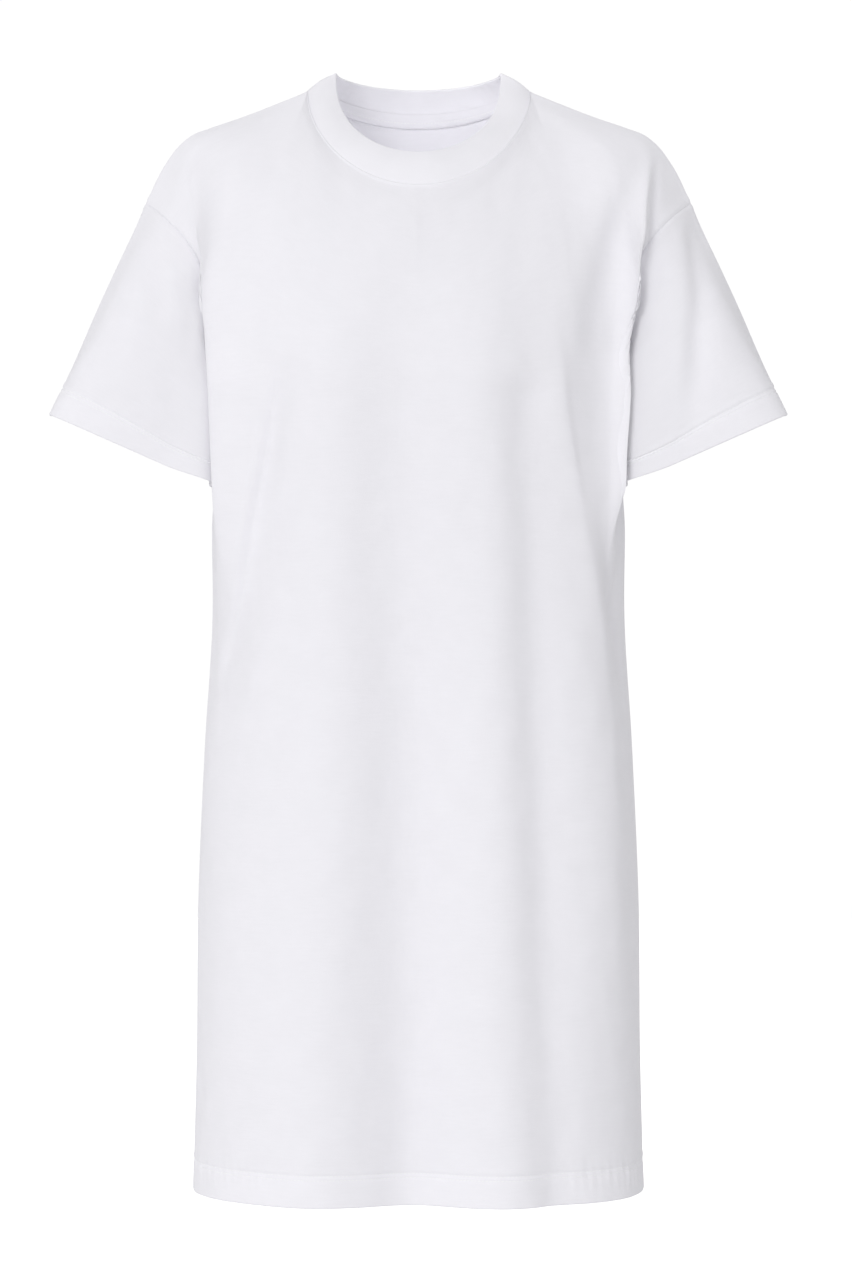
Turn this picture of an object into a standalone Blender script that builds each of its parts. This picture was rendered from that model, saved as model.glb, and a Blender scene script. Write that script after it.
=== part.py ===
"""T-shirt dress as the hollow cloth shell that it makes when it is worn.

Metres, +Z up. The front faces -Y and the wearer's left is +X. The origin lies midway between
the two high shoulder points, where the neck seam meets the shoulder seams. Every piece is a
cloth wall: a grid of outer points, the same grid moved in by the cloth's thickness, and rims.
"""
import math
from collections import namedtuple

import bmesh
import bpy
import numpy as np

# Cloth
WALL = 0.0015
HEM_WALL = 0.0024
BAND_WALL = 0.0026
TAPE_WALL = 0.0010
SEAM_GAP = 0.0003
RING_GAP = 0.0004

# Lengths of the garment
HEM_Z = -0.890
HEM_HEIGHT = 0.025
CHEST_Z = -0.235
ROUNDNESS = 2.2
SIDE_SOFTNESS = 0.035

# Grid sizes. A half panel runs from its middle (0) to its side (1), and its top edge is the neck
# seam up to the neck's share, then the shoulder seam.
NECK_SHARE = 0.5
NECK_COLUMNS = 8
SHOULDER_COLUMNS = 12
HALF_COLUMNS = NECK_COLUMNS + SHOULDER_COLUMNS
LOWER_ROWS = 16
UPPER_ROWS = 12
SLEEVE_ROWS = 7
BAND_ROWS = 4
TAPE_ROWS = 2

# Body sections, hem to chest. The armpit column draws the side seam in under the sleeve.
Section = namedtuple("Section", "height half_width front back armpit")
SECTIONS = (
    Section(-0.890, 0.1840, 0.1260, 0.1250, 0.0000),
    Section(-0.780, 0.1812, 0.1245, 0.1255, 0.0000),
    Section(-0.660, 0.1808, 0.1225, 0.1240, 0.0000),
    Section(-0.530, 0.1752, 0.1195, 0.1130, 0.0000),
    Section(-0.410, 0.1685, 0.1175, 0.1010, 0.0000),
    Section(-0.345, 0.1690, 0.1185, 0.1020, 0.0005),
    Section(-0.315, 0.1695, 0.1195, 0.1040, 0.0030),
    Section(-0.275, 0.1708, 0.1210, 0.1080, 0.0068),
    Section(-0.235, 0.1720, 0.1220, 0.1120, 0.0090),
)

# Neck loops: the seam, and the smaller loop of the band's top edge. The powers say how soon the
# loop drops from its side towards its front and its back.
Loop = namedtuple("Loop", "half_width side_y side_z front_y front_z front_power back_y back_z back_power")
NECK_SEAM = Loop(0.0915, 0.005, 0.0085, -0.0760, -0.0775, 1.12, 0.0750, -0.0130, 1.60)
RIM = Loop(0.0685, 0.010, 0.0240, -0.0620, -0.0500, 0.85, 0.0655, 0.0175, 1.60)
BAND_ROLL = 0.0016
TAPE_SPAN = (0.03, 0.38)

# Shoulder seam, from the neck out over the shoulder to the top of the armhole
Place = namedtuple("Place", "x y z")
SHOULDER = (
    Place(NECK_SEAM.half_width, NECK_SEAM.side_y, NECK_SEAM.side_z),
    Place(0.1136, 0.0040, -0.0006),
    Place(0.1464, 0.0020, -0.0137),
    Place(0.1700, 0.0000, -0.0222),
    Place(0.1857, 0.0000, -0.0282),
    Place(0.1960, 0.0000, -0.0364),
    Place(0.2087, 0.0000, -0.0535),
    Place(0.2235, 0.0000, -0.0835),
)

# Armhole seams, from the underarm up to the shoulder tip
UNDERARM = Place(SECTIONS[-1].half_width - SECTIONS[-1].armpit, 0.0, CHEST_Z)
ARMHOLE = {
    "front": (
        UNDERARM,
        Place(0.1650, -0.0280, -0.2260),
        Place(0.1674, -0.0446, -0.2080),
        Place(0.1688, -0.0485, -0.1800),
        Place(0.1712, -0.0505, -0.1560),
        Place(0.1780, -0.0505, -0.1340),
        Place(0.1880, -0.0470, -0.1185),
        Place(0.2035, -0.0345, -0.1015),
        SHOULDER[-1],
    ),
    "back": (
        UNDERARM,
        Place(0.1662, 0.0320, -0.2090),
        Place(0.1735, 0.0470, -0.1720),
        Place(0.1880, 0.0480, -0.1330),
        Place(0.2060, 0.0330, -0.1050),
        SHOULDER[-1],
    ),
}

# How the cloth arrives at the top edge: its rise in degrees and how long it keeps that course
Arrival = namedtuple("Arrival", "across rise reach")
ARRIVAL = {
    "front": (
        Arrival(0.00, 62.0, 0.150),
        Arrival(0.25, 50.0, 0.170),
        Arrival(0.50, 33.0, 0.215),
        Arrival(0.75, 12.0, 0.260),
        Arrival(1.00, 0.0, 0.200),
    ),
    "back": (
        Arrival(0.00, 70.0, 0.170),
        Arrival(0.25, 44.0, 0.185),
        Arrival(0.50, 9.0, 0.225),
        Arrival(0.75, 4.0, 0.250),
        Arrival(1.00, 0.0, 0.200),
    ),
}
CHEST_LIFT = 0.95
CORNER_START = 0.78
CORNER_PASSES = 8
CORNER_COLUMNS = 16
ARMHOLE_REACH = 0.70

# Cuff: a loop across the sleeve's end, boxy towards the body and rounder outside. The powers are
# those of a rounded rectangle: 1 is an ellipse, and the lower, the boxier. Its back lies higher.
CUFF_CENTRE = Place(0.2345, 0.0, -0.2870)
CUFF_OUTWARD = (0.0665, 0.0295)
CUFF_DEPTH = 0.0535
CUFF_INNER_POWER = 0.38
CUFF_OUTER_POWERS = (0.90, 0.72)
CUFF_BACK_RISE = 0.0070
CUFF_STEPS = 720
SLEEVE_FULLNESS = 0.0060
FULLNESS_POWER = 0.6
SHARP_ANGLE = 40.0

# Largest folds of the body. A depth above zero is a trough, below zero a ridge. Folds fade out
# from these shares of the panel on, towards its side seams and its top edge.
SIDE_FADE = 0.88
TOP_FADE = 0.72
Fold = namedtuple("Fold", "panel x_top z_top x_low z_low depth_top depth_low width_top width_low")
FOLDS = (
    Fold("front", -0.010, -0.170, -0.006, -0.930, 0.004, 0.034, 0.034, 0.050),
    Fold("front", -0.070, -0.200, -0.083, -0.930, -0.003, -0.004, 0.035, 0.035),
    Fold("front", 0.052, -0.200, 0.072, -0.930, -0.004, -0.004, 0.032, 0.035),
    Fold("front", 0.084, -0.250, 0.112, -0.930, 0.005, 0.009, 0.018, 0.022),
    Fold("front", -0.119, -0.225, -0.168, -0.480, 0.004, 0.006, 0.016, 0.024),
    Fold("front", 0.138, -0.212, 0.160, -0.470, 0.007, 0.009, 0.015, 0.018),
    Fold("front", -0.168, -0.055, -0.117, -0.195, 0.003, 0.003, 0.014, 0.018),
    Fold("front", 0.176, -0.055, 0.139, -0.190, 0.005, 0.007, 0.012, 0.015),
    Fold("back", -0.055, -0.330, -0.062, -0.930, 0.003, 0.015, 0.032, 0.040),
    Fold("back", 0.060, -0.360, 0.070, -0.930, 0.002, 0.018, 0.032, 0.038),
    Fold("back", 0.004, -0.340, 0.002, -0.930, -0.002, -0.004, 0.032, 0.036),
    Fold("back", -0.125, -0.225, -0.160, -0.430, 0.008, 0.005, 0.020, 0.026),
    Fold("back", 0.125, -0.225, 0.160, -0.430, 0.007, 0.006, 0.020, 0.026),
    Fold("back", -0.160, -0.070, -0.120, -0.190, 0.004, 0.007, 0.016, 0.020),
    Fold("back", 0.160, -0.070, 0.120, -0.190, 0.005, 0.007, 0.016, 0.020),
)

# The fold that stands over the front of each armhole, where the wide shoulder drops. Its edge lies
# at x and y before it is pushed out to the side and forward. The cloth rises to it over the rise
# and drops off behind it over the drop, both measured across the fold, in FOLD_COURSE.
FOLD_COURSE = (0.6, 0.8)
SideStop = namedtuple("SideStop", "height x y outward forward rise drop")
SIDE_FOLDS = {
    -1: (
        SideStop(-0.450, 0.1500, -0.0550, 0.0000, 0.0000, 0.024, 0.030),
        SideStop(-0.400, 0.1500, -0.0550, 0.0045, 0.0008, 0.024, 0.030),
        SideStop(-0.320, 0.1520, -0.0560, 0.0098, 0.0024, 0.024, 0.022),
        SideStop(-0.260, 0.1545, -0.0570, 0.0108, 0.0026, 0.024, 0.012),
        SideStop(-0.210, 0.1572, -0.0560, 0.0110, 0.0030, 0.024, 0.007),
        SideStop(-0.180, 0.1605, -0.0570, 0.0105, 0.0034, 0.024, 0.006),
        SideStop(-0.150, 0.1655, -0.0575, 0.0078, 0.0042, 0.024, 0.007),
        SideStop(-0.115, 0.1732, -0.0560, 0.0020, 0.0045, 0.022, 0.007),
        SideStop(-0.085, 0.1766, -0.0530, 0.0008, 0.0036, 0.020, 0.007),
        SideStop(-0.045, 0.1840, -0.0340, 0.0000, 0.0000, 0.018, 0.007),
    ),
    1: (
        SideStop(-0.450, 0.1500, -0.0550, 0.0000, 0.0000, 0.024, 0.030),
        SideStop(-0.400, 0.1500, -0.0550, 0.0045, 0.0012, 0.024, 0.030),
        SideStop(-0.320, 0.1520, -0.0560, 0.0095, 0.0036, 0.024, 0.022),
        SideStop(-0.260, 0.1545, -0.0570, 0.0106, 0.0044, 0.022, 0.012),
        SideStop(-0.210, 0.1575, -0.0560, 0.0114, 0.0055, 0.021, 0.007),
        SideStop(-0.180, 0.1610, -0.0570, 0.0105, 0.0068, 0.020, 0.006),
        SideStop(-0.150, 0.1685, -0.0570, 0.0085, 0.0080, 0.018, 0.007),
        SideStop(-0.115, 0.1785, -0.0540, 0.0038, 0.0085, 0.018, 0.007),
        SideStop(-0.085, 0.1855, -0.0480, 0.0012, 0.0070, 0.018, 0.007),
        SideStop(-0.045, 0.1930, -0.0260, 0.0000, 0.0000, 0.018, 0.007),
    ),
}

# Folds along the sleeves. The turn is in degrees round the sleeve, 0 at the underarm, 90 in front.
# Each comes in and goes out over a share of the sleeve's length.
SLEEVE_FADE = 0.3
SleeveFold = namedtuple("SleeveFold", "side turn start end depth width")
SLEEVE_FOLDS = (
    SleeveFold(-1, 100.0, 0.10, 0.70, 0.0020, 17.0),
    SleeveFold(1, 100.0, 0.05, 0.80, 0.0040, 17.0),
    SleeveFold(-1, 262.0, 0.10, 0.75, 0.0040, 18.0),
    SleeveFold(1, 268.0, 0.10, 0.75, 0.0040, 18.0),
)

Finish = namedtuple("Finish", "colour roughness")
JERSEY = Finish((0.86, 0.87, 0.88), 0.90)
RIB = Finish((0.87, 0.87, 0.88), 0.88)
TAPE = Finish((0.84, 0.85, 0.86), 0.85)

COLLECTION = "t_shirt_dress"


def clear_scene():
    """Start from an empty scene."""
    for item in list(bpy.data.objects):
        bpy.data.objects.remove(item)


def ease(low, high, value):
    """Smooth step from 0 at low to 1 at high."""
    part = np.clip((value - low) / (high - low), 0.0, 1.0)
    return part * part * (3.0 - 2.0 * part)


def hermite(start, start_way, end, end_way, part):
    """Point on the cubic from start to end that leaves and arrives along the two ways."""
    part = np.asarray(part)[..., None]
    square, cube = part**2, part**3
    leaving = (2 * cube - 3 * square + 1) * start + (cube - 2 * square + part) * start_way
    arriving = (3 * square - 2 * cube) * end + (cube - square) * end_way
    return leaving + arriving


def through(keys, values, at):
    """Smooth curve through the rows of a table, read at the given keys."""
    keys = np.asarray(keys, float)
    values = np.asarray(values, float).reshape(len(keys), -1)
    at = np.atleast_1d(np.asarray(at, float))
    slopes = np.gradient(values, keys, axis=0)
    row = np.clip(np.searchsorted(keys, at) - 1, 0, len(keys) - 2)
    span = keys[row + 1] - keys[row]
    part = (at - keys[row]) / span
    return hermite(
        values[row], slopes[row] * span[:, None], values[row + 1], slopes[row + 1] * span[:, None], part
    )


def along(places, parts):
    """Smooth curve through the places, read at parts of its length from 0 to 1."""
    places = np.array(places, float)
    steps = np.linalg.norm(np.diff(places, axis=0), axis=1)
    keys = np.concatenate(([0.0], np.cumsum(steps))) / steps.sum()
    return through(keys, places, parts)


def unit(vectors):
    """The vectors at length one."""
    return vectors / np.maximum(np.linalg.norm(vectors, axis=-1, keepdims=True), 1e-12)


def power(value, exponent):
    """Power that keeps the sign."""
    return np.sign(value) * np.abs(value) ** exponent


def loop_half(loop, panel, parts):
    """Half of a neck loop, from its middle in front or behind (0) round to its side at +X (1)."""
    turn = np.asarray(parts) * math.pi / 2
    if panel == "front":
        middle_y, middle_z, drop = loop.front_y, loop.front_z, loop.front_power
    else:
        middle_y, middle_z, drop = loop.back_y, loop.back_z, loop.back_power
    inward = np.clip(np.cos(turn), 0.0, 1.0)
    x = loop.half_width * np.sin(turn)
    y = loop.side_y + (middle_y - loop.side_y) * inward
    z = loop.side_z + (middle_z - loop.side_z) * inward**drop
    return np.stack((x, y, z), axis=-1)


def body_sections(heights):
    """Half width, front depth, back depth and armpit at each height."""
    keys = [row.height for row in SECTIONS]
    return through(keys, [row[1:] for row in SECTIONS], heights)


def body_row(panel, across, section):
    """Level row of a panel: points from the middle to the side seam at +X."""
    half_width, front, back, armpit = section
    turn = across * math.pi / 2
    x = half_width * power(np.sin(turn), 2 / ROUNDNESS)
    depth = -front if panel == "front" else back
    y = depth * power(np.cos(turn), 2 / ROUNDNESS)
    y[across >= 1.0] = 0.0
    x = x - armpit * np.exp(-((y / SIDE_SOFTNESS) ** 2))
    return np.stack((x, y), axis=-1)


def column_shares():
    """Columns of a half panel, from 0 in the middle to 1 at its edge."""
    neck = np.linspace(0.0, NECK_SHARE, NECK_COLUMNS + 1)
    shoulder = np.linspace(NECK_SHARE, 1.0, SHOULDER_COLUMNS + 1)
    return np.concatenate((neck, shoulder[1:]))


def top_edge(panel, across):
    """Neck seam from the middle, then the shoulder seam out to its tip, at +X."""
    neck = loop_half(NECK_SEAM, panel, np.minimum(across / NECK_SHARE, 1.0))
    shoulder = along(SHOULDER, np.clip((across - NECK_SHARE) / (1 - NECK_SHARE), 0.0, 1.0))
    return np.where((across <= NECK_SHARE)[:, None], neck, shoulder)


def rounded_edge(panel, across):
    """The top edge with the corner at the high shoulder point rounded off."""
    coarse = np.linspace(0.0, 1.0, CORNER_COLUMNS + 1)
    rounded = top_edge(panel, coarse)
    for _ in range(CORNER_PASSES):
        rounded[1:-1] = (rounded[:-2] + 2 * rounded[1:-1] + rounded[2:]) / 4
    return through(coarse, rounded, across)


def half_panel(panel):
    """Outer points of half a panel at +X, rows from the hem up, columns from the middle out."""
    across = column_shares()
    heights = np.concatenate(
        ([HEM_Z], np.linspace(HEM_Z + HEM_HEIGHT, CHEST_Z, LOWER_ROWS))
    )
    rows = []
    for height, section in zip(heights, body_sections(heights)):
        level = body_row(panel, across, section)
        rows.append(np.column_stack((level, np.full(len(across), height))))
    chest = rows[-1]
    top = top_edge(panel, across)
    table = ARRIVAL[panel]
    arrival = through([row.across for row in table], [row[1:] for row in table], across)
    rise = np.radians(arrival[:, 0])
    forward = 1.0 if panel == "front" else -1.0
    course = np.stack((np.zeros(len(across)), forward * np.cos(rise), np.sin(rise)), axis=-1)
    end_way = course * arrival[:, 1:2]
    slope = (rows[-1] - rows[-2]) / (heights[-1] - heights[-2])
    start_way = slope * CHEST_LIFT * (top[:, 2:3] - chest[:, 2:3])
    edge_share = ease(ARMHOLE_REACH, 1.0, across)[:, None]
    armhole = along(ARMHOLE[panel], np.linspace(0.0, 1.0, UPPER_ROWS + 1))
    rounded = rounded_edge(panel, across)
    for step in range(1, UPPER_ROWS + 1):
        part = np.full(len(across), step / UPPER_ROWS)
        aim = top + (rounded - top) * (1.0 - ease(CORNER_START, 1.0, part))[:, None]
        row = hermite(chest, start_way, aim, end_way, part)
        row = row + (armhole[step] - row[-1]) * edge_share
        rows.append(row)
    return np.array(rows)


def side_fold(side, points):
    """How far the fold over the armhole moves points of the half panel at +X."""
    stops = SIDE_FOLDS[side]
    heights = [stop.height for stop in stops]
    height = np.clip(points[..., 2], heights[0], heights[-1])
    sizes = through(heights, [stop[1:] for stop in stops], height.reshape(-1))
    x, y, outward, forward, rise, drop = sizes.T.reshape(-1, *height.shape)
    past = FOLD_COURSE[0] * (points[..., 0] - x) + FOLD_COURSE[1] * (points[..., 1] - y)
    share = np.exp(-((past / np.where(past < 0, rise, drop)) ** 2))
    return np.stack((outward * share, -forward * share, np.zeros(height.shape)), axis=-1)


def full_panel(panel):
    """Outer points of a whole panel, columns from -X to +X, before its other folds."""
    half = half_panel(panel)
    right, left = half, half
    if panel == "front":
        right = half + side_fold(-1, half)
        left = half + side_fold(1, half)
    mirrored = right[:, :0:-1] * (-1.0, 1.0, 1.0)
    return np.concatenate((mirrored, left), axis=1)


def grid_normals(grid, closed=False):
    """Normals of a grid of points, all on one side of it."""
    if closed:
        wrapped = np.concatenate((grid[:, -1:], grid, grid[:, :1]), axis=1)
        sideways = (wrapped[:, 2:] - wrapped[:, :-2]) / 2
    else:
        sideways = np.gradient(grid, axis=1)
    upward = np.gradient(grid, axis=0)
    return unit(np.cross(sideways, upward))


def capsule_distance(x, z, fold):
    """Distance of points from a fold's line in the front view, and how far down it they lie."""
    run = np.array((fold.x_low - fold.x_top, fold.z_low - fold.z_top))
    part = ((x - fold.x_top) * run[0] + (z - fold.z_top) * run[1]) / run.dot(run)
    part = np.clip(part, 0.0, 1.0)
    away = np.hypot(x - fold.x_top - part * run[0], z - fold.z_top - part * run[1])
    return away, part


def fold_panel(panel, grid):
    """Press the panel's folds into its points, fading out before the seams."""
    normals = grid_normals(grid) * (1.0 if panel == "front" else -1.0)
    press = np.zeros(grid.shape[:2])
    for fold in (fold for fold in FOLDS if fold.panel == panel):
        away, part = capsule_distance(grid[..., 0], grid[..., 2], fold)
        depth = fold.depth_top + (fold.depth_low - fold.depth_top) * part
        width = fold.width_top + (fold.width_low - fold.width_top) * part
        press += depth * np.exp(-((away / width) ** 2))
    half = column_shares()
    side = np.concatenate((half[:0:-1], half))
    upper = (np.arange(len(grid)) - LOWER_ROWS) / UPPER_ROWS
    keep = (1.0 - ease(SIDE_FADE, 1.0, side))[None, :] * (1.0 - ease(TOP_FADE, 1.0, upper))[:, None]
    return grid - normals * (press * keep)[..., None]


def share_normals(front_normals, back_normals):
    """Give both panels one normal at each point of the side and shoulder seams."""
    neck = slice(HALF_COLUMNS - NECK_COLUMNS + 1, HALF_COLUMNS + NECK_COLUMNS)
    shared = np.zeros(front_normals.shape[:2], bool)
    shared[: LOWER_ROWS + 1, (0, -1)] = True
    shared[-1, :] = True
    shared[-1, neck] = False
    mean = unit(front_normals + back_normals)
    for normals in (front_normals, back_normals):
        normals[shared] = mean[shared]


def pull_back(outer, inner):
    """Half the seam gap at the side and shoulder edges, along the panel."""
    half_gap = SEAM_GAP / 2
    neck = (HALF_COLUMNS - NECK_COLUMNS, HALF_COLUMNS + NECK_COLUMNS)
    lower = slice(0, LOWER_ROWS + 1)
    for edge, beside in ((0, 1), (-1, -2)):
        shift = unit(outer[lower, beside] - outer[lower, edge]) * half_gap
        outer[lower, edge] += shift
        inner[lower, edge] += shift
    for columns in (slice(0, neck[0] + 1), slice(neck[1], None)):
        shift = unit(outer[-2, columns] - outer[-1, columns]) * half_gap
        outer[-1, columns] += shift
        inner[-1, columns] += shift


def wall_triangles(rows, columns, closed):
    """Triangles of a wall: outer sheet, inner sheet with the same diagonals, and rims."""
    count = rows * columns
    triangles = []
    wide = columns if closed else columns - 1
    for row in range(rows - 1):
        for column in range(wide):
            beside = (column + 1) % columns
            a, b = row * columns + column, row * columns + beside
            d, e = a + columns, b + columns
            triangles += [(a, b, e), (a, e, d)]
            triangles += [(count + a, count + e, count + b), (count + a, count + d, count + e)]
    for column in range(wide):
        beside = (column + 1) % columns
        a, b = column, beside
        d, e = (rows - 1) * columns + column, (rows - 1) * columns + beside
        triangles += [(b, a, count + a), (b, count + a, count + b)]
        triangles += [(d, e, count + e), (d, count + e, count + d)]
    if not closed:
        for row in range(rows - 1):
            a, d = row * columns, (row + 1) * columns
            b, e = a + columns - 1, d + columns - 1
            triangles += [(a, d, count + d), (a, count + d, count + a)]
            triangles += [(e, b, count + b), (e, count + b, count + e)]
    return triangles


def add_material(item, finish):
    """Give the object its own cloth material."""
    material = bpy.data.materials.new(item.name + "_cloth")
    material.use_nodes = True
    shader = material.node_tree.nodes["Principled BSDF"]
    shader.inputs["Base Color"].default_value = (*finish.colour, 1.0)
    shader.inputs["Roughness"].default_value = finish.roughness
    shader.inputs["Metallic"].default_value = 0.0
    item.data.materials.append(material)


def add_wall(name, outer, inner, finish, closed=False):
    """Make one closed cloth wall from its outer and inner points."""
    rows, columns = outer.shape[:2]
    shape = bmesh.new()
    points = np.concatenate((outer.reshape(-1, 3), inner.reshape(-1, 3)))
    corners = [shape.verts.new(point) for point in points]
    for triangle in wall_triangles(rows, columns, closed):
        shape.faces.new([corners[k] for k in triangle])
    if shape.calc_volume(signed=True) < 0:
        bmesh.ops.reverse_faces(shape, faces=shape.faces[:])
    mesh = bpy.data.meshes.new(name)
    shape.to_mesh(mesh)
    shape.free()
    mesh.shade_smooth()
    mesh.set_sharp_from_angle(angle=math.radians(SHARP_ANGLE))
    item = bpy.data.objects.new(name, mesh)
    bpy.data.collections[COLLECTION].objects.link(item)
    add_material(item, finish)
    return item


def build_body():
    """Front and back panels. Returns the outer points of each."""
    grids = {panel: fold_panel(panel, full_panel(panel)) for panel in ("front", "back")}
    normals = {"front": grid_normals(grids["front"]), "back": -grid_normals(grids["back"])}
    share_normals(normals["front"], normals["back"])
    thickness = np.full((LOWER_ROWS + 1 + UPPER_ROWS, 1, 1), WALL)
    thickness[:2] = HEM_WALL
    for panel, grid in grids.items():
        outer = grid.copy()
        inner = grid - normals[panel] * thickness
        pull_back(outer, inner)
        add_wall(panel, outer, inner, JERSEY)
    return grids


def armhole_loop(grids, side):
    """Points of one armhole seam: underarm, up the front, over the tip and down the back."""
    edge = -1 if side > 0 else 0
    front = grids["front"][LOWER_ROWS:, edge]
    back = grids["back"][LOWER_ROWS:, edge]
    return np.concatenate((front, back[-2:0:-1]))


def cuff_half(side):
    """Close points of the cuff's front half, from the underarm out to its far end."""
    turn = np.linspace(0.0, math.pi, CUFF_STEPS + 1)
    near = turn < math.pi / 2
    inward = -power(np.cos(turn), np.where(near, CUFF_INNER_POWER, CUFF_OUTER_POWERS[0]))
    forward = -power(np.sin(turn), np.where(near, CUFF_INNER_POWER, CUFF_OUTER_POWERS[1]))
    x = side * (CUFF_CENTRE.x + CUFF_OUTWARD[0] * inward)
    z = CUFF_CENTRE.z + CUFF_OUTWARD[1] * inward
    return np.stack((x, CUFF_DEPTH * forward, z), axis=-1)


def cuff_loop(loop, side):
    """Points of the cuff, spaced round it as the armhole's points are."""
    steps = np.linalg.norm(np.diff(loop, axis=0, append=loop[:1]), axis=1)
    before = np.concatenate(([0.0], np.cumsum(steps[:-1])))
    tip = before[UPPER_ROWS]
    turn = np.where(
        before <= tip,
        before / tip * math.pi,
        math.pi + (before - tip) / (steps.sum() - tip) * math.pi,
    )
    half = cuff_half(side)
    run = np.append(0.0, np.cumsum(np.linalg.norm(np.diff(half, axis=0), axis=1)))
    front = turn <= math.pi
    part = np.where(front, turn, 2 * math.pi - turn) / math.pi
    cuff = np.stack([np.interp(part, run / run[-1], half[:, axis]) for axis in range(3)], axis=-1)
    cuff[:, 1] *= np.where(front, 1.0, -1.0)
    cuff[:, 2] += CUFF_BACK_RISE * ease(0.0, 1.0, cuff[:, 1] / CUFF_DEPTH)
    return cuff, turn


def build_sleeve(name, side, grids):
    """One short sleeve, from the armhole seam to the cuff."""
    loop = armhole_loop(grids, side)
    cuff, turn = cuff_loop(loop, side)
    length = np.linalg.norm(cuff - loop, axis=1).max()
    hem_part = 1.0 - HEM_HEIGHT / length
    parts = np.append(np.linspace(0.0, hem_part, SLEEVE_ROWS), 1.0)
    tip, low = loop[UPPER_ROWS], loop[0]
    outward = np.cross(tip - low, (0.0, 1.0, 0.0))
    outward = unit(outward * np.sign(outward[0] * side))
    start = loop + unit(unit(cuff - loop) + outward) * RING_GAP
    fullness = SLEEVE_FULLNESS * power(np.sin(turn), FULLNESS_POWER)
    grid = []
    for part in parts:
        row = start + (cuff - start) * part
        row[:, 1] -= fullness * math.sin(math.pi * part)
        grid.append(row)
    grid = np.array(grid)
    normals = grid_normals(grid, closed=True) * -side
    for fold in (fold for fold in SLEEVE_FOLDS if fold.side == side):
        away = np.degrees(turn) - fold.turn
        fade_in = ease(fold.start, fold.start + SLEEVE_FADE, parts)
        fade_out = 1.0 - ease(fold.end - SLEEVE_FADE, fold.end, parts)
        press = fold.depth * (fade_in * fade_out)[:, None] * np.exp(-((away / fold.width) ** 2))
        grid -= normals * press[..., None]
    normals = grid_normals(grid, closed=True) * -side
    thickness = np.full((len(parts), 1, 1), WALL)
    thickness[-2:] = HEM_WALL
    add_wall(name, grid, grid - normals * thickness, JERSEY, closed=True)


def neck_loops():
    """The neck seam and the band's top edge, round from the front's -X side."""
    parts = np.linspace(0.0, 1.0, NECK_COLUMNS + 1)
    loops = []
    for loop in (NECK_SEAM, RIM):
        front_half = loop_half(loop, "front", parts)
        back_half = loop_half(loop, "back", parts)
        mirror = (-1.0, 1.0, 1.0)
        loops.append(np.concatenate((
            front_half[:0:-1] * mirror,
            front_half[:-1],
            back_half[:0:-1],
            back_half[:-1] * mirror,
        )))
    return loops


def build_neck():
    """Neck band round the whole neck, and the tape on its inside at the back."""
    seam, rim = neck_loops()
    start = seam + unit(rim - seam) * RING_GAP
    parts = np.linspace(0.0, 1.0, BAND_ROWS + 1)
    straight = np.array([start + (rim - start) * part for part in parts])
    normals = grid_normals(straight, closed=True)
    roll = (np.sin(math.pi * parts) * BAND_ROLL)[:, None, None]
    outer = straight + normals * roll
    normals = grid_normals(outer, closed=True)
    inner = outer - normals * BAND_WALL
    add_wall("neck_band", outer, inner, RIB, closed=True)
    back = slice(2 * NECK_COLUMNS, 4 * NECK_COLUMNS + 1)
    column_order = np.arange(back.start, back.stop) % (4 * NECK_COLUMNS)
    rows = np.linspace(*TAPE_SPAN, TAPE_ROWS + 1)
    lining = inner - normals * SEAM_GAP
    tape_face = np.array([
        [through(parts, lining[:, column], row)[0] for column in column_order] for row in rows
    ])
    tape_normals = np.array([
        [through(parts, normals[:, column], row)[0] for column in column_order] for row in rows
    ])
    add_wall("neck_tape", tape_face, tape_face - unit(tape_normals) * TAPE_WALL, TAPE)


def main():
    """Build the dress."""
    clear_scene()
    collection = bpy.data.collections.new(COLLECTION)
    bpy.context.scene.collection.children.link(collection)
    grids = build_body()
    build_sleeve("sleeve_left", 1, grids)
    build_sleeve("sleeve_right", -1, grids)
    build_neck()


main()
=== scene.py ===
import logging
import math
from dataclasses import astuple, dataclass, field, replace
from enum import Enum

import bpy
import numpy as np
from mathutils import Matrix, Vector


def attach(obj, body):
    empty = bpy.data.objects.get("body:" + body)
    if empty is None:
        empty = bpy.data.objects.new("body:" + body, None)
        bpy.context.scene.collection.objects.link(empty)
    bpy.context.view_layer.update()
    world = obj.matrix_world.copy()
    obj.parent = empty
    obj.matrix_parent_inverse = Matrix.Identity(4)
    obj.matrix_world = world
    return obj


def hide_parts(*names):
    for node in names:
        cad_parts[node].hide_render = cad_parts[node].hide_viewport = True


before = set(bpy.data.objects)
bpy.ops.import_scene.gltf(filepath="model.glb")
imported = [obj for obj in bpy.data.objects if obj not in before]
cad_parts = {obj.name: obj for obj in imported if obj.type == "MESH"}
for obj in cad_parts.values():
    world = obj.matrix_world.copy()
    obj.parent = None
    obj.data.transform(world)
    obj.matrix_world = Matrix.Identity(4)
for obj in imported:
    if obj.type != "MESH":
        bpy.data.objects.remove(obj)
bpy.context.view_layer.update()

LOG = logging.getLogger("t_shirt_dress")
BODY = "root"
# Kinds of sizes: two or three numbers, rows of three, and a row of a fold's or crease's sizes.
Pair = tuple[float, float]
Triple = tuple[float, float, float]
Places = tuple[Triple, ...]
Sizes = tuple[float, float, float, float, float]


class Panel(Enum):
    """The two body panels, with the direction that each faces along Y."""

    FRONT = -1
    BACK = 1


class Side(Enum):
    """The wearer's sides, with their direction along X."""

    LEFT = 1
    RIGHT = -1


class Slot(Enum):
    """The record's material slots."""

    JERSEY = "jersey"
    RIB = "rib"
    TAPE = "tape"


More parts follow.
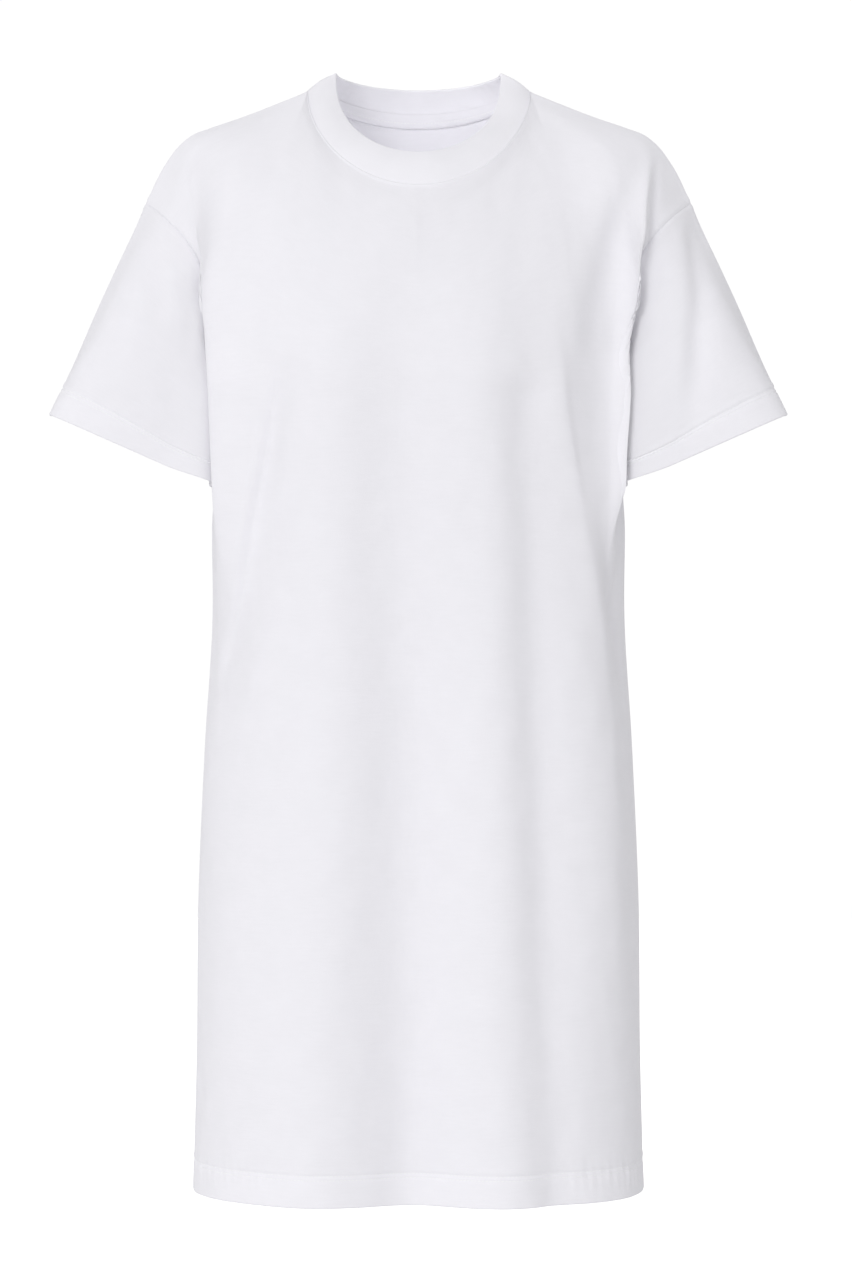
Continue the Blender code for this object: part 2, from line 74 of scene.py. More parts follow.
def ease(low: float, high: float, value: np.ndarray) -> np.ndarray:
    """Smooth step from 0 at low to 1 at high."""
    part = np.clip((value - low) / (high - low), 0.0, 1.0)
    return part * part * (3.0 - 2.0 * part)


def bell(distance: np.ndarray, width: np.ndarray | float) -> np.ndarray:
    """Bell curve: 1 at distance 0, falling off over width."""
    return np.exp(-((distance / width) ** 2))


def unit(vectors: np.ndarray) -> np.ndarray:
    """The vectors at length one."""
    return vectors / np.maximum(np.linalg.norm(vectors, axis=-1, keepdims=True), 1e-12)


def power(value: np.ndarray, exponent: float) -> np.ndarray:
    """Power that keeps the sign."""
    return np.sign(value) * np.abs(value) ** exponent


def hermite(
    start: np.ndarray, start_way: np.ndarray, end: np.ndarray, end_way: np.ndarray, part: np.ndarray
) -> np.ndarray:
    """Point on the cubic from start to end that leaves and arrives along the two ways.

    Args:
        start: Where the cubic starts.
        start_way: Its direction and speed there.
        end: Where it ends.
        end_way: Its direction and speed there.
        part: How far along it each point lies, from 0 to 1.

    Returns:
        The points.
    """
    part = np.asarray(part)[..., None]
    square, cube = part**2, part**3
    leaving = (2 * cube - 3 * square + 1) * start + (cube - 2 * square + part) * start_way
    arriving = (3 * square - 2 * cube) * end + (cube - square) * end_way
    return leaving + arriving


def through(keys: object, values: object, at: object) -> np.ndarray:
    """Smooth curve through the rows of a table.

    Args:
        keys: The key of each row, rising.
        values: The values of each row.
        at: The keys to read.

    Returns:
        One row of values for each key read.
    """
    keys = np.asarray(keys, float)
    values = np.asarray(values, float).reshape(len(keys), -1)
    at = np.atleast_1d(np.asarray(at, float))
    slopes = np.gradient(values, keys, axis=0)
    row = np.clip(np.searchsorted(keys, at) - 1, 0, len(keys) - 2)
    span = (keys[row + 1] - keys[row])[:, None]
    part = (at - keys[row]) / span[:, 0]
    return hermite(values[row], slopes[row] * span, values[row + 1], slopes[row + 1] * span, part)


def along(places: object, parts: object) -> np.ndarray:
    """Smooth curve through the places, read at parts of its length from 0 to 1."""
    places = np.array(places, float)
    steps = np.linalg.norm(np.diff(places, axis=0), axis=1)
    keys = np.concatenate(([0.0], np.cumsum(steps))) / steps.sum()
    return through(keys, places, parts)


def run_lengths(grid: np.ndarray, axis: int) -> np.ndarray:
    """Length along the cloth from the first point, down each column (0) or along each row (1)."""
    steps = np.linalg.norm(np.diff(grid, axis=axis), axis=-1)
    first = np.zeros_like(np.take(steps, [0], axis=axis))
    return np.concatenate((first, np.cumsum(steps, axis=axis)), axis=axis)


def grid_normals(grid: np.ndarray, closed: bool = False) -> np.ndarray:
    """Normals of a grid of points, all on one side of it.

    Args:
        grid: Rows and columns of points.
        closed: Whether the last column meets the first.

    Returns:
        A unit normal at each point.
    """
    if closed:
        wrapped = np.concatenate((grid[:, -1:], grid, grid[:, :1]), axis=1)
        sideways = unit(wrapped[:, 2:] - wrapped[:, 1:-1]) + unit(wrapped[:, 1:-1] - wrapped[:, :-2])
    else:
        steps = unit(np.diff(grid, axis=1))
        sideways = np.concatenate((steps[:, :1], steps[:, 1:] + steps[:, :-1], steps[:, -1:]), axis=1)
    rises = unit(np.diff(grid, axis=0))
    upward = np.concatenate((rises[:1], rises[1:] + rises[:-1], rises[-1:]), axis=0)
    return unit(np.cross(sideways, upward))


def spaced(start: float, end: float, fine: tuple[float, ...], step: float) -> np.ndarray:
    """Stations from start to end: the fine ones near the start, then even steps.

    Args:
        start: The first station.
        end: The last station.
        fine: Distances from the start that get a station of their own, rising.
        step: Largest distance between the others.

    Returns:
        The stations, rising.
    """
    first = start + fine[-1]
    count = max(2, int(math.ceil((end - first) / step)) + 1)
    return np.concatenate(([start], start + np.array(fine[:-1]), np.linspace(first, end, count)))


def linked(name: str, data: bpy.types.ID) -> bpy.types.Object:
    """Add an object with that data to the scene."""
    item = bpy.data.objects.new(name, data)
    bpy.context.scene.collection.objects.link(item)
    return item


def note(mesh: bpy.types.Mesh, name: str, values: np.ndarray, vector: bool = False) -> None:
    """Store a value, or a vector, at each point of a mesh."""
    attribute = mesh.attributes.new(name, "FLOAT_VECTOR" if vector else "FLOAT", "POINT")
    attribute.data.foreach_set("vector" if vector else "value", values.reshape(-1).astype(np.float32))


@dataclass(frozen=True)
class Section:
    """A level section of the body; armpit draws the side seam in under the sleeve."""

    height: float
    half_width: float
    front: float
    back: float
    armpit: float = 0.0


@dataclass(frozen=True)
class Loop:
    """A loop round the neck. The powers say how soon it drops from its side to its middles."""

    half_width: float
    side: Pair
    front: Pair
    front_power: float
    back: Pair
    back_power: float

    def half(self, panel: Panel, parts: np.ndarray) -> np.ndarray:
        """Half of the loop at +X.

        Args:
            panel: The side of the neck that it runs on.
            parts: Places on it, from 0 in the middle to 1 at the high shoulder point.

        Returns:
            The points.
        """
        middle, drop = (
            (self.front, self.front_power) if panel is Panel.FRONT else (self.back, self.back_power)
        )
        turn = np.asarray(parts) * math.pi / 2
        inward = np.clip(np.cos(turn), 0.0, 1.0)
        x = self.half_width * np.sin(turn)
        y = self.side[0] + (middle[0] - self.side[0]) * inward
        z = self.side[1] + (middle[1] - self.side[1]) * inward**drop
        return np.stack((x, y, z), axis=-1)

    def ring(self, per_quarter: int) -> np.ndarray:
        """The whole loop, round from -X along the front to +X and back behind."""
        parts = np.linspace(0.0, 1.0, per_quarter + 1)
        front, back = self.half(Panel.FRONT, parts), self.half(Panel.BACK, parts)
        mirror = np.array((-1.0, 1.0, 1.0))
        return np.concatenate((front[:0:-1] * mirror, front[:-1], back[:0:-1], back[:-1] * mirror))


@dataclass(frozen=True)
class Crease:
    """A finer crease or crest along a bent path in the front view.

    Each stop is (x, z, depth, width towards -X, width towards +X); below zero depth it is a crest.
    """

    stops: tuple[Sizes, ...]
    pieces: int = 24

    def press(self, x: np.ndarray, z: np.ndarray) -> np.ndarray:
        """How far the crease presses points at x and z in; below zero it lifts them."""
        path = along(self.stops, np.linspace(0.0, 1.0, self.pieces + 1))
        nearest = np.full(x.shape, np.inf)
        pressed = np.zeros(x.shape)
        for first, last in zip(path[:-1], path[1:]):
            run = last[:2] - first[:2]
            part = ((x - first[0]) * run[0] + (z - first[1]) * run[1]) / run.dot(run)
            part = np.clip(part, 0.0, 1.0)
            dx, dz = x - first[0] - part * run[0], z - first[1] - part * run[1]
            away = np.hypot(dx, dz)
            shape = first[2:] + (last[2:] - first[2:]) * part[..., None]
            width = np.where(dx < 0, shape[..., 1], shape[..., 2])
            closer = away < nearest
            nearest = np.where(closer, away, nearest)
            pressed = np.where(closer, shape[..., 0] * bell(away, width), pressed)
        return pressed


def soft_fold(top: Pair, low: Pair, depths: Pair, widths: Pair) -> Crease:
    """A large soft fold that the frame has too, straight from one place in the front view to another.

    Args:
        top: Where it starts, as (x, z).
        low: Where it ends.
        depths: How deep it is at each end; below zero it is a crest.
        widths: How wide it is at each end.

    Returns:
        The fold.
    """
    (start_deep, end_deep), (start_wide, end_wide) = depths, widths
    ends = ((*top, start_deep, start_wide, start_wide), (*low, end_deep, end_wide, end_wide))
    return Crease(ends, pieces=1)


@dataclass(frozen=True)
class SideFold:
    """The fold that stands over the front of an armhole, where the wide shoulder drops.

    Each stop is (height, x, y, outward, forward, rise, drop): its edge lies there before it is
    pushed out to the side and forward. The cloth rises to it over the rise, drops off behind it
    over the drop and sinks a little beyond.
    """

    stops: tuple[tuple[float, float, float, float, float, float, float], ...]
    course: Pair = (0.6, 0.8)
    sink: float = 0.30
    sink_at: float = 0.0085
    sink_width: float = 0.0050

    def push(self, points: np.ndarray) -> np.ndarray:
        """How far the fold moves points of the half panel at +X."""
        table = np.array(self.stops)[::-1]
        height = np.clip(points[..., 2], table[0, 0], table[-1, 0])
        stop = through(table[:, 0], table[:, 1:], height.reshape(-1)).reshape(*height.shape, 6)
        course = np.array(self.course)
        past = points[..., :2] @ course - stop[..., :2] @ course
        rise = np.where(past < 0, bell(past, stop[..., 4]), bell(past, stop[..., 5]))
        dip = self.sink * bell(past - self.sink_at, self.sink_width)
        outward = stop[..., 2] * rise
        forward = stop[..., 3] * (rise - dip)
        return np.stack((outward, -forward, np.zeros_like(outward)), axis=-1)


@dataclass(frozen=True)
class Unevenness:
    """Slight waviness of cloth: a sum of long soft waves with a fixed seed."""

    seed: int
    height: float
    across: Pair
    lengthways: Pair
    waves: int = 14

    def lift(self, round_cloth: np.ndarray, up_cloth: np.ndarray) -> np.ndarray:
        """How far the waves lift the cloth at places on it.

        Args:
            round_cloth: Length round the cloth.
            up_cloth: Length up the cloth.

        Returns:
            The lift at each place.
        """
        draw = np.random.default_rng(self.seed)
        total = np.zeros(np.broadcast(round_cloth, up_cloth).shape)
        for _ in range(self.waves):
            wide = 2 * math.pi / draw.uniform(*self.across)
            tall = 2 * math.pi / draw.uniform(*self.lengthways) * draw.choice((-1.0, 1.0))
            phase = draw.uniform(0.0, 2 * math.pi)
            total = total + np.sin(wide * round_cloth + tall * up_cloth + phase)
        return total * self.height / math.sqrt(self.waves / 2)


@dataclass(frozen=True)
class Hem:
    """A turned-up hem with a twin-needle row: heights above the edge, and what the sewing does."""

    height: float = 0.025
    rows: Pair = (0.0212, 0.0245)
    bulk: float = 0.00035
    bulk_fade: float = 0.0010
    second_layer: float = 0.9
    wall_edge: Pair = (-0.0004, 0.0006)
    layer_edge: Pair = (-0.0002, 0.0008)
    groove: float = 0.00055
    groove_width: float = 0.0011
    ridge: float = 0.00045
    ridge_above: float = 0.0028
    ridge_width: float = 0.0016
    pucker: float = 0.00022
    pucker_at: float = 0.021
    pucker_width: float = 0.0115
    pucker_pitches: Pair = (0.0085, 0.0085 * 1.73)
    pucker_slants: Pair = (90.0, -60.0)
    pucker_shares: Pair = (1.0, 0.6)
    pucker_from: float = 0.004
    row_layers: float = 0.8
    row_layers_above: float = 0.0012
    row_layers_width: float = 0.0009
    fine: tuple[float, ...] = (
        0.0008, 0.0020, 0.0045, 0.0080, 0.0120, 0.0160, 0.0188, 0.0200, 0.0206, 0.0212, 0.0218,
        0.0228, 0.0239, 0.0245, 0.0251, 0.0260, 0.0275, 0.0300, 0.0330, 0.0370,
    )

    def lift(self, above: np.ndarray, round_cloth: np.ndarray) -> np.ndarray:
        """How far the hem lifts the outer face.

        Args:
            above: Length up the cloth from the edge.
            round_cloth: Length round the cloth.

        Returns:
            The lift at each place.
        """
        lift = self.bulk * (1.0 - ease(self.rows[0], self.rows[1] + self.bulk_fade, above))
        for row in self.rows:
            lift = lift - self.groove * bell(above - row, self.groove_width)
        lift = lift + self.ridge * bell(above - self.rows[1] - self.ridge_above, self.ridge_width)
        wave = 0.0
        for pitch, slant, share in zip(self.pucker_pitches, self.pucker_slants, self.pucker_shares):
            wave = wave + share * np.sin(2 * math.pi * round_cloth / pitch + slant * above)
        near = bell(above - self.pucker_at, self.pucker_width) * ease(0.0, self.pucker_from, above)
        return lift + self.pucker * wave * near

    def inside(self, above: np.ndarray, edge: Pair) -> np.ndarray:
        """One in the hem and zero above it, with an edge that runs between two places beside its height."""
        return 1.0 - ease(self.height + edge[0], self.height + edge[1], above)

    def layers(self, above: np.ndarray) -> np.ndarray:
        """Extra layers: one in the hem, more under its stitch rows."""
        extra = self.inside(above, self.layer_edge)
        for row in self.rows:
            sewn = bell(above - row - self.row_layers_above, self.row_layers_width)
            extra = extra + self.row_layers * sewn
        return extra

    def wall(self, above: np.ndarray, single: float) -> np.ndarray:
        """Thickness of the wall: two layers in the hem and one above it."""
        return single * (1.0 + self.second_layer * self.inside(above, self.wall_edge))


@dataclass(frozen=True)
class SeamEdge:
    """What a plain seam does to the cloth beside it: a groove, then a low ridge over its turnings."""

    groove: float = 0.0003
    groove_width: float = 0.0010
    ridge: float = 0.00045
    ridge_at: float = 0.0036
    ridge_width: float = 0.0026
    fine: tuple[float, ...] = (0.0007, 0.0015, 0.0023, 0.0032, 0.0044, 0.0060, 0.0085)

    def lift(self, away: np.ndarray) -> np.ndarray:
        """How far the seam lifts the cloth at a distance from it."""
        ridge = self.ridge * bell(away - self.ridge_at, self.ridge_width)
        return ridge - self.groove * bell(away, self.groove_width)


# Level sections of the body, from the hem to the chest.
SECTIONS = (
    Section(-0.89, 0.184, 0.126, 0.125),
    Section(-0.78, 0.1812, 0.1245, 0.1255),
    Section(-0.66, 0.18, 0.1225, 0.124),
    Section(-0.53, 0.1746, 0.1195, 0.113),
    Section(-0.41, 0.1679, 0.1175, 0.101),
    Section(-0.345, 0.169, 0.1185, 0.102, 0.0005),
    Section(-0.315, 0.1695, 0.1195, 0.104, 0.003),
    Section(-0.275, 0.1708, 0.121, 0.108, 0.0068),
    Section(-0.235, 0.172, 0.122, 0.112, 0.009),
)

# The shoulder seam, from the neck to its tip.
SHOULDER = (
    (0.0915, 0.005, 0.0085), (0.1136, 0.004, -0.0006), (0.1464, 0.002, -0.0137), (0.17, 0.0, -0.0222),
    (0.1857, 0.0, -0.0282), (0.196, 0.0, -0.0364), (0.2087, 0.0, -0.0535), (0.2235, 0.0, -0.0835),
)

# The armholes, from the underarm to the tip.
ARMHOLES = {
    Panel.FRONT: (
        (0.163, 0.0, -0.235), (0.165, -0.028, -0.226), (0.1674, -0.0446, -0.208), (0.1688, -0.0485, -0.18),
        (0.1712, -0.0505, -0.156), (0.178, -0.0505, -0.134), (0.188, -0.047, -0.1185),
        (0.2035, -0.0345, -0.1015), (0.2235, 0.0, -0.0835),
    ),
    Panel.BACK: (
        (0.163, 0.0, -0.235), (0.1662, 0.032, -0.209), (0.1735, 0.047, -0.172), (0.188, 0.048, -0.133),
        (0.206, 0.033, -0.105), (0.2235, 0.0, -0.0835),
    ),
}

# How each column meets the top edge: its place across, degrees from level, and speed.
ARRIVALS = {
    Panel.FRONT: (
        (0.0, 62.0, 0.15), (0.25, 50.0, 0.17), (0.5, 33.0, 0.215), (0.75, 12.0, 0.26), (1.0, 0.0, 0.2),
    ),
    Panel.BACK: (
        (0.0, 70.0, 0.17), (0.25, 44.0, 0.185), (0.5, 9.0, 0.225), (0.75, 4.0, 0.25), (1.0, 0.0, 0.2),
    ),
}

# The large folds.
FOLDS = {
    Panel.FRONT: (
        soft_fold((-0.01, -0.17), (-0.006, -0.93), (0.004, 0.034), (0.034, 0.05)),
        soft_fold((-0.07, -0.2), (-0.083, -0.93), (-0.003, -0.004), (0.035, 0.035)),
        soft_fold((0.052, -0.2), (0.072, -0.93), (-0.004, -0.004), (0.032, 0.035)),
        soft_fold((0.084, -0.25), (0.112, -0.93), (0.005, 0.009), (0.018, 0.022)),
        soft_fold((-0.119, -0.225), (-0.168, -0.48), (0.004, 0.003), (0.016, 0.024)),
        soft_fold((-0.168, -0.055), (-0.117, -0.195), (0.001, 0.002), (0.014, 0.018)),
    ),
    Panel.BACK: (
        soft_fold((-0.055, -0.33), (-0.062, -0.93), (0.003, 0.015), (0.032, 0.04)),
        soft_fold((0.06, -0.36), (0.07, -0.93), (0.002, 0.018), (0.032, 0.038)),
        soft_fold((0.004, -0.34), (0.002, -0.93), (-0.002, -0.004), (0.032, 0.036)),
        soft_fold((-0.125, -0.225), (-0.16, -0.43), (0.008, 0.005), (0.02, 0.026)),
        soft_fold((0.125, -0.225), (0.16, -0.43), (0.007, 0.006), (0.02, 0.026)),
        soft_fold((-0.16, -0.07), (-0.12, -0.19), (0.004, 0.007), (0.016, 0.02)),
        soft_fold((0.16, -0.07), (0.12, -0.19), (0.005, 0.007), (0.016, 0.02)),
    ),
}

# The folds over the armholes. Each row is a stop, as SideFold says.
SIDE_FOLDS = {
    Side.RIGHT: SideFold((
        (-0.045, 0.184, -0.034, 0.0, 0.0, 0.012, 0.004),
        (-0.065, 0.18, -0.043, 0.0006, 0.0004, 0.01, 0.0034),
        (-0.085, 0.1766, -0.053, 0.0008, 0.0006, 0.01, 0.0034),
        (-0.1, 0.1752, -0.056, 0.0018, 0.0008, 0.01, 0.0036),
        (-0.115, 0.1732, -0.0565, 0.0036, 0.001, 0.012, 0.0038),
        (-0.13, 0.17, -0.0578, 0.0052, 0.001, 0.018, 0.0042),
        (-0.15, 0.166, -0.0582, 0.009, 0.002, 0.022, 0.0046),
        (-0.18, 0.1618, -0.058, 0.0126, 0.0034, 0.024, 0.005),
        (-0.21, 0.1575, -0.0592, 0.0154, 0.0042, 0.024, 0.0056),
        (-0.235, 0.154, -0.0612, 0.0165, 0.0036, 0.024, 0.006),
        (-0.26, 0.1525, -0.0612, 0.0162, 0.0032, 0.024, 0.0062),
        (-0.29, 0.1515, -0.0608, 0.016, 0.003, 0.024, 0.0066),
        (-0.32, 0.1505, -0.06, 0.0156, 0.0028, 0.024, 0.008),
        (-0.35, 0.15, -0.058, 0.013, 0.0018, 0.024, 0.016),
        (-0.4, 0.15, -0.056, 0.006, 0.0008, 0.024, 0.03), (-0.45, 0.15, -0.055, 0.0, 0.0, 0.024, 0.03),
    )),
    Side.LEFT: SideFold((
        (-0.045, 0.193, -0.026, 0.0, 0.0, 0.01, 0.004),
        (-0.065, 0.1895, -0.037, 0.0006, 0.005, 0.01, 0.0034),
        (-0.085, 0.1855, -0.048, 0.002, 0.0078, 0.01, 0.0034),
        (-0.1, 0.182, -0.052, 0.0034, 0.0088, 0.011, 0.0036),
        (-0.115, 0.1785, -0.054, 0.0054, 0.0092, 0.011, 0.0038),
        (-0.13, 0.173, -0.0565, 0.008, 0.0086, 0.012, 0.004),
        (-0.15, 0.168, -0.0575, 0.0104, 0.0074, 0.013, 0.0044),
        (-0.18, 0.162, -0.0578, 0.0146, 0.0058, 0.015, 0.005),
        (-0.21, 0.1578, -0.059, 0.0156, 0.005, 0.017, 0.0056),
        (-0.235, 0.1545, -0.061, 0.0188, 0.0046, 0.018, 0.006),
        (-0.26, 0.153, -0.061, 0.019, 0.0042, 0.019, 0.0062),
        (-0.29, 0.152, -0.0606, 0.0184, 0.004, 0.02, 0.0066),
        (-0.32, 0.151, -0.06, 0.0178, 0.0042, 0.024, 0.008),
        (-0.35, 0.15, -0.058, 0.0122, 0.003, 0.024, 0.016),
        (-0.4, 0.15, -0.056, 0.0055, 0.0012, 0.024, 0.03), (-0.45, 0.15, -0.055, 0.0, 0.0, 0.024, 0.03),
    )),
}


@dataclass
class DressForm:
    """The large form of the dress, in the frame's own sizes."""

    roundness: float = 2.2
    side_softness: float = 0.035
    chest: float = -0.235
    chest_lift: float = 0.95
    chest_step: float = 0.04
    armhole_reach: float = 0.70
    ease_from: float = 0.80
    ease_up: Pair = (0.02, 0.14)
    ease_below: Pair = (0.50, 0.68)
    corner_start: float = 0.78
    corner_passes: int = 8
    coarse_columns: int = 16
    neck_share: float = 0.5
    side_fade: float = 0.88
    top_fade: float = 0.72
    sections: tuple[Section, ...] = SECTIONS
    seam: Loop = Loop(0.0915, (0.005, 0.0085), (-0.0760, -0.0775), 1.12, (0.0750, -0.0130), 1.60)
    rim: Loop = Loop(0.0685, (0.010, 0.0240), (-0.0620, -0.0500), 0.85, (0.0655, 0.0175), 1.60)
    shoulder: Places = SHOULDER
    armholes: dict[Panel, Places] = field(default_factory=lambda: ARMHOLES)
    arrivals: dict[Panel, Places] = field(default_factory=lambda: ARRIVALS)
    folds: dict[Panel, tuple[Crease, ...]] = field(default_factory=lambda: FOLDS)
    side_folds: dict[Side, SideFold] = field(default_factory=lambda: SIDE_FOLDS)

    def body_rows(self, panel: Panel, across: np.ndarray, heights: np.ndarray) -> np.ndarray:
        """Level rows of half a panel.

        Args:
            panel: The panel.
            across: Columns, from 0 in the middle to 1 at the side seam at +X.
            heights: The height of each row.

        Returns:
            Points by row and column.
        """
        table = np.array([astuple(section) for section in self.sections])
        sizes = through(table[:, 0], table[:, 1:], heights)
        turn = across * math.pi / 2
        bow = 2 / self.roundness
        outward = power(np.sin(turn), bow)
        forward = np.where(across < 1.0, power(np.cos(turn), bow), 0.0)
        depth = -sizes[:, 1] if panel is Panel.FRONT else sizes[:, 2]
        y = depth[:, None] * forward
        x = sizes[:, :1] * outward - sizes[:, 3:4] * bell(y, self.side_softness)
        z = np.broadcast_to(heights[:, None], x.shape)
        return np.stack((x, y, z), axis=-1)

    def top_edge(self, panel: Panel, across: np.ndarray) -> np.ndarray:
        """Neck seam from the middle, then the shoulder seam out to its tip, at +X."""
        neck = self.seam.half(panel, np.minimum(across / self.neck_share, 1.0))
        part = np.clip((across - self.neck_share) / (1 - self.neck_share), 0.0, 1.0)
        shoulder = along(self.shoulder, part)
        return np.where((across <= self.neck_share)[:, None], neck, shoulder)

    def rounded_edge(self, panel: Panel, across: np.ndarray) -> np.ndarray:
        """The top edge with the corner at the high shoulder point rounded off."""
        coarse = np.linspace(0.0, 1.0, self.coarse_columns + 1)
        rounded = self.top_edge(panel, coarse)
        for _ in range(self.corner_passes):
            rounded[1:-1] = (rounded[:-2] + 2 * rounded[1:-1] + rounded[2:]) / 4
        return through(coarse, rounded, across)

    def half_panel(
        self, panel: Panel, across: np.ndarray, heights: np.ndarray, parts: np.ndarray
    ) -> np.ndarray:
        """Outer points of half a panel at +X, before its folds.

        Args:
            panel: The panel.
            across: Columns, from 0 in the middle to 1 at the edge.
            heights: Heights of the rows from the hem to the chest.
            parts: Rows above the chest, up to 1 at the top edge.

        Returns:
            Points by row and column.
        """
        lower = self.body_rows(panel, across, heights)
        table = np.array(self.arrivals[panel])
        arrival = through(table[:, 0], table[:, 1:], across)
        rise = np.radians(arrival[:, 0])
        course = np.stack((np.zeros(len(across)), -panel.value * np.cos(rise), np.sin(rise)), axis=-1)
        top, rounded = self.top_edge(panel, across), self.rounded_edge(panel, across)
        below = self.body_rows(panel, across, np.array((self.chest - self.chest_step, self.chest)))
        slope = (below[1] - below[0]) / self.chest_step
        start_way = slope * self.chest_lift * (top[:, 2:3] - self.chest)
        armhole = along(self.armholes[panel], parts)
        edge_share = ease(self.armhole_reach, 1.0, across)[:, None]
        rows = []
        for part, hole in zip(parts, armhole):
            aim = top + (rounded - top) * (1.0 - ease(self.corner_start, 1.0, np.array(part)))
            row = hermite(lower[-1], start_way, aim, course * arrival[:, 1:2], np.full(len(across), part))
            row = row + (hole - row[-1]) * edge_share
            share = ease(*self.ease_up, np.array(part))
            share = share * (1.0 - ease(*self.ease_below, np.array(part)))
            rows.append(self.eased(row, across, share))
        return np.concatenate((lower, np.array(rows)))

    def eased(self, row: np.ndarray, across: np.ndarray, share: np.ndarray) -> np.ndarray:
        """A row with one plain curve near its end, so that no ridge stands beside the armhole."""
        first = int(np.abs(across - self.ease_from).argmin())
        way = (across[first:] - across[first])[:, None] / (1.0 - across[first])
        slope = (row[first] - row[first - 2]) / (across[first] - across[first - 2])
        slope = slope * (1.0 - across[first])
        plain = row[first] + slope * way + (row[-1] - row[first] - slope) * way**2
        eased = row.copy()
        eased[first:] += (plain - row[first:]) * share
        return eased

    def panel(self, panel: Panel, across: np.ndarray, heights: np.ndarray, parts: np.ndarray) -> np.ndarray:
        """Outer points of a whole panel with its large folds, columns from -X to +X."""
        half = self.half_panel(panel, across, heights, parts)
        right, left = half, half
        if panel is Panel.FRONT:
            right = half + self.side_folds[Side.RIGHT].push(half)
            left = half + self.side_folds[Side.LEFT].push(half)
        grid = np.concatenate((right[:, :0:-1] * (-1.0, 1.0, 1.0), left), axis=1)
        normals = grid_normals(grid) * -panel.value
        press = sum(fold.press(grid[..., 0], grid[..., 2]) for fold in self.folds[panel])
        side = np.concatenate((across[:0:-1], across))
        upper = np.concatenate((np.zeros(len(heights)), parts))
        keep = 1.0 - ease(self.side_fade, 1.0, side)
        keep = keep[None, :] * (1.0 - ease(self.top_fade, 1.0, upper))[:, None]
        return grid - normals * (press * keep)[..., None]


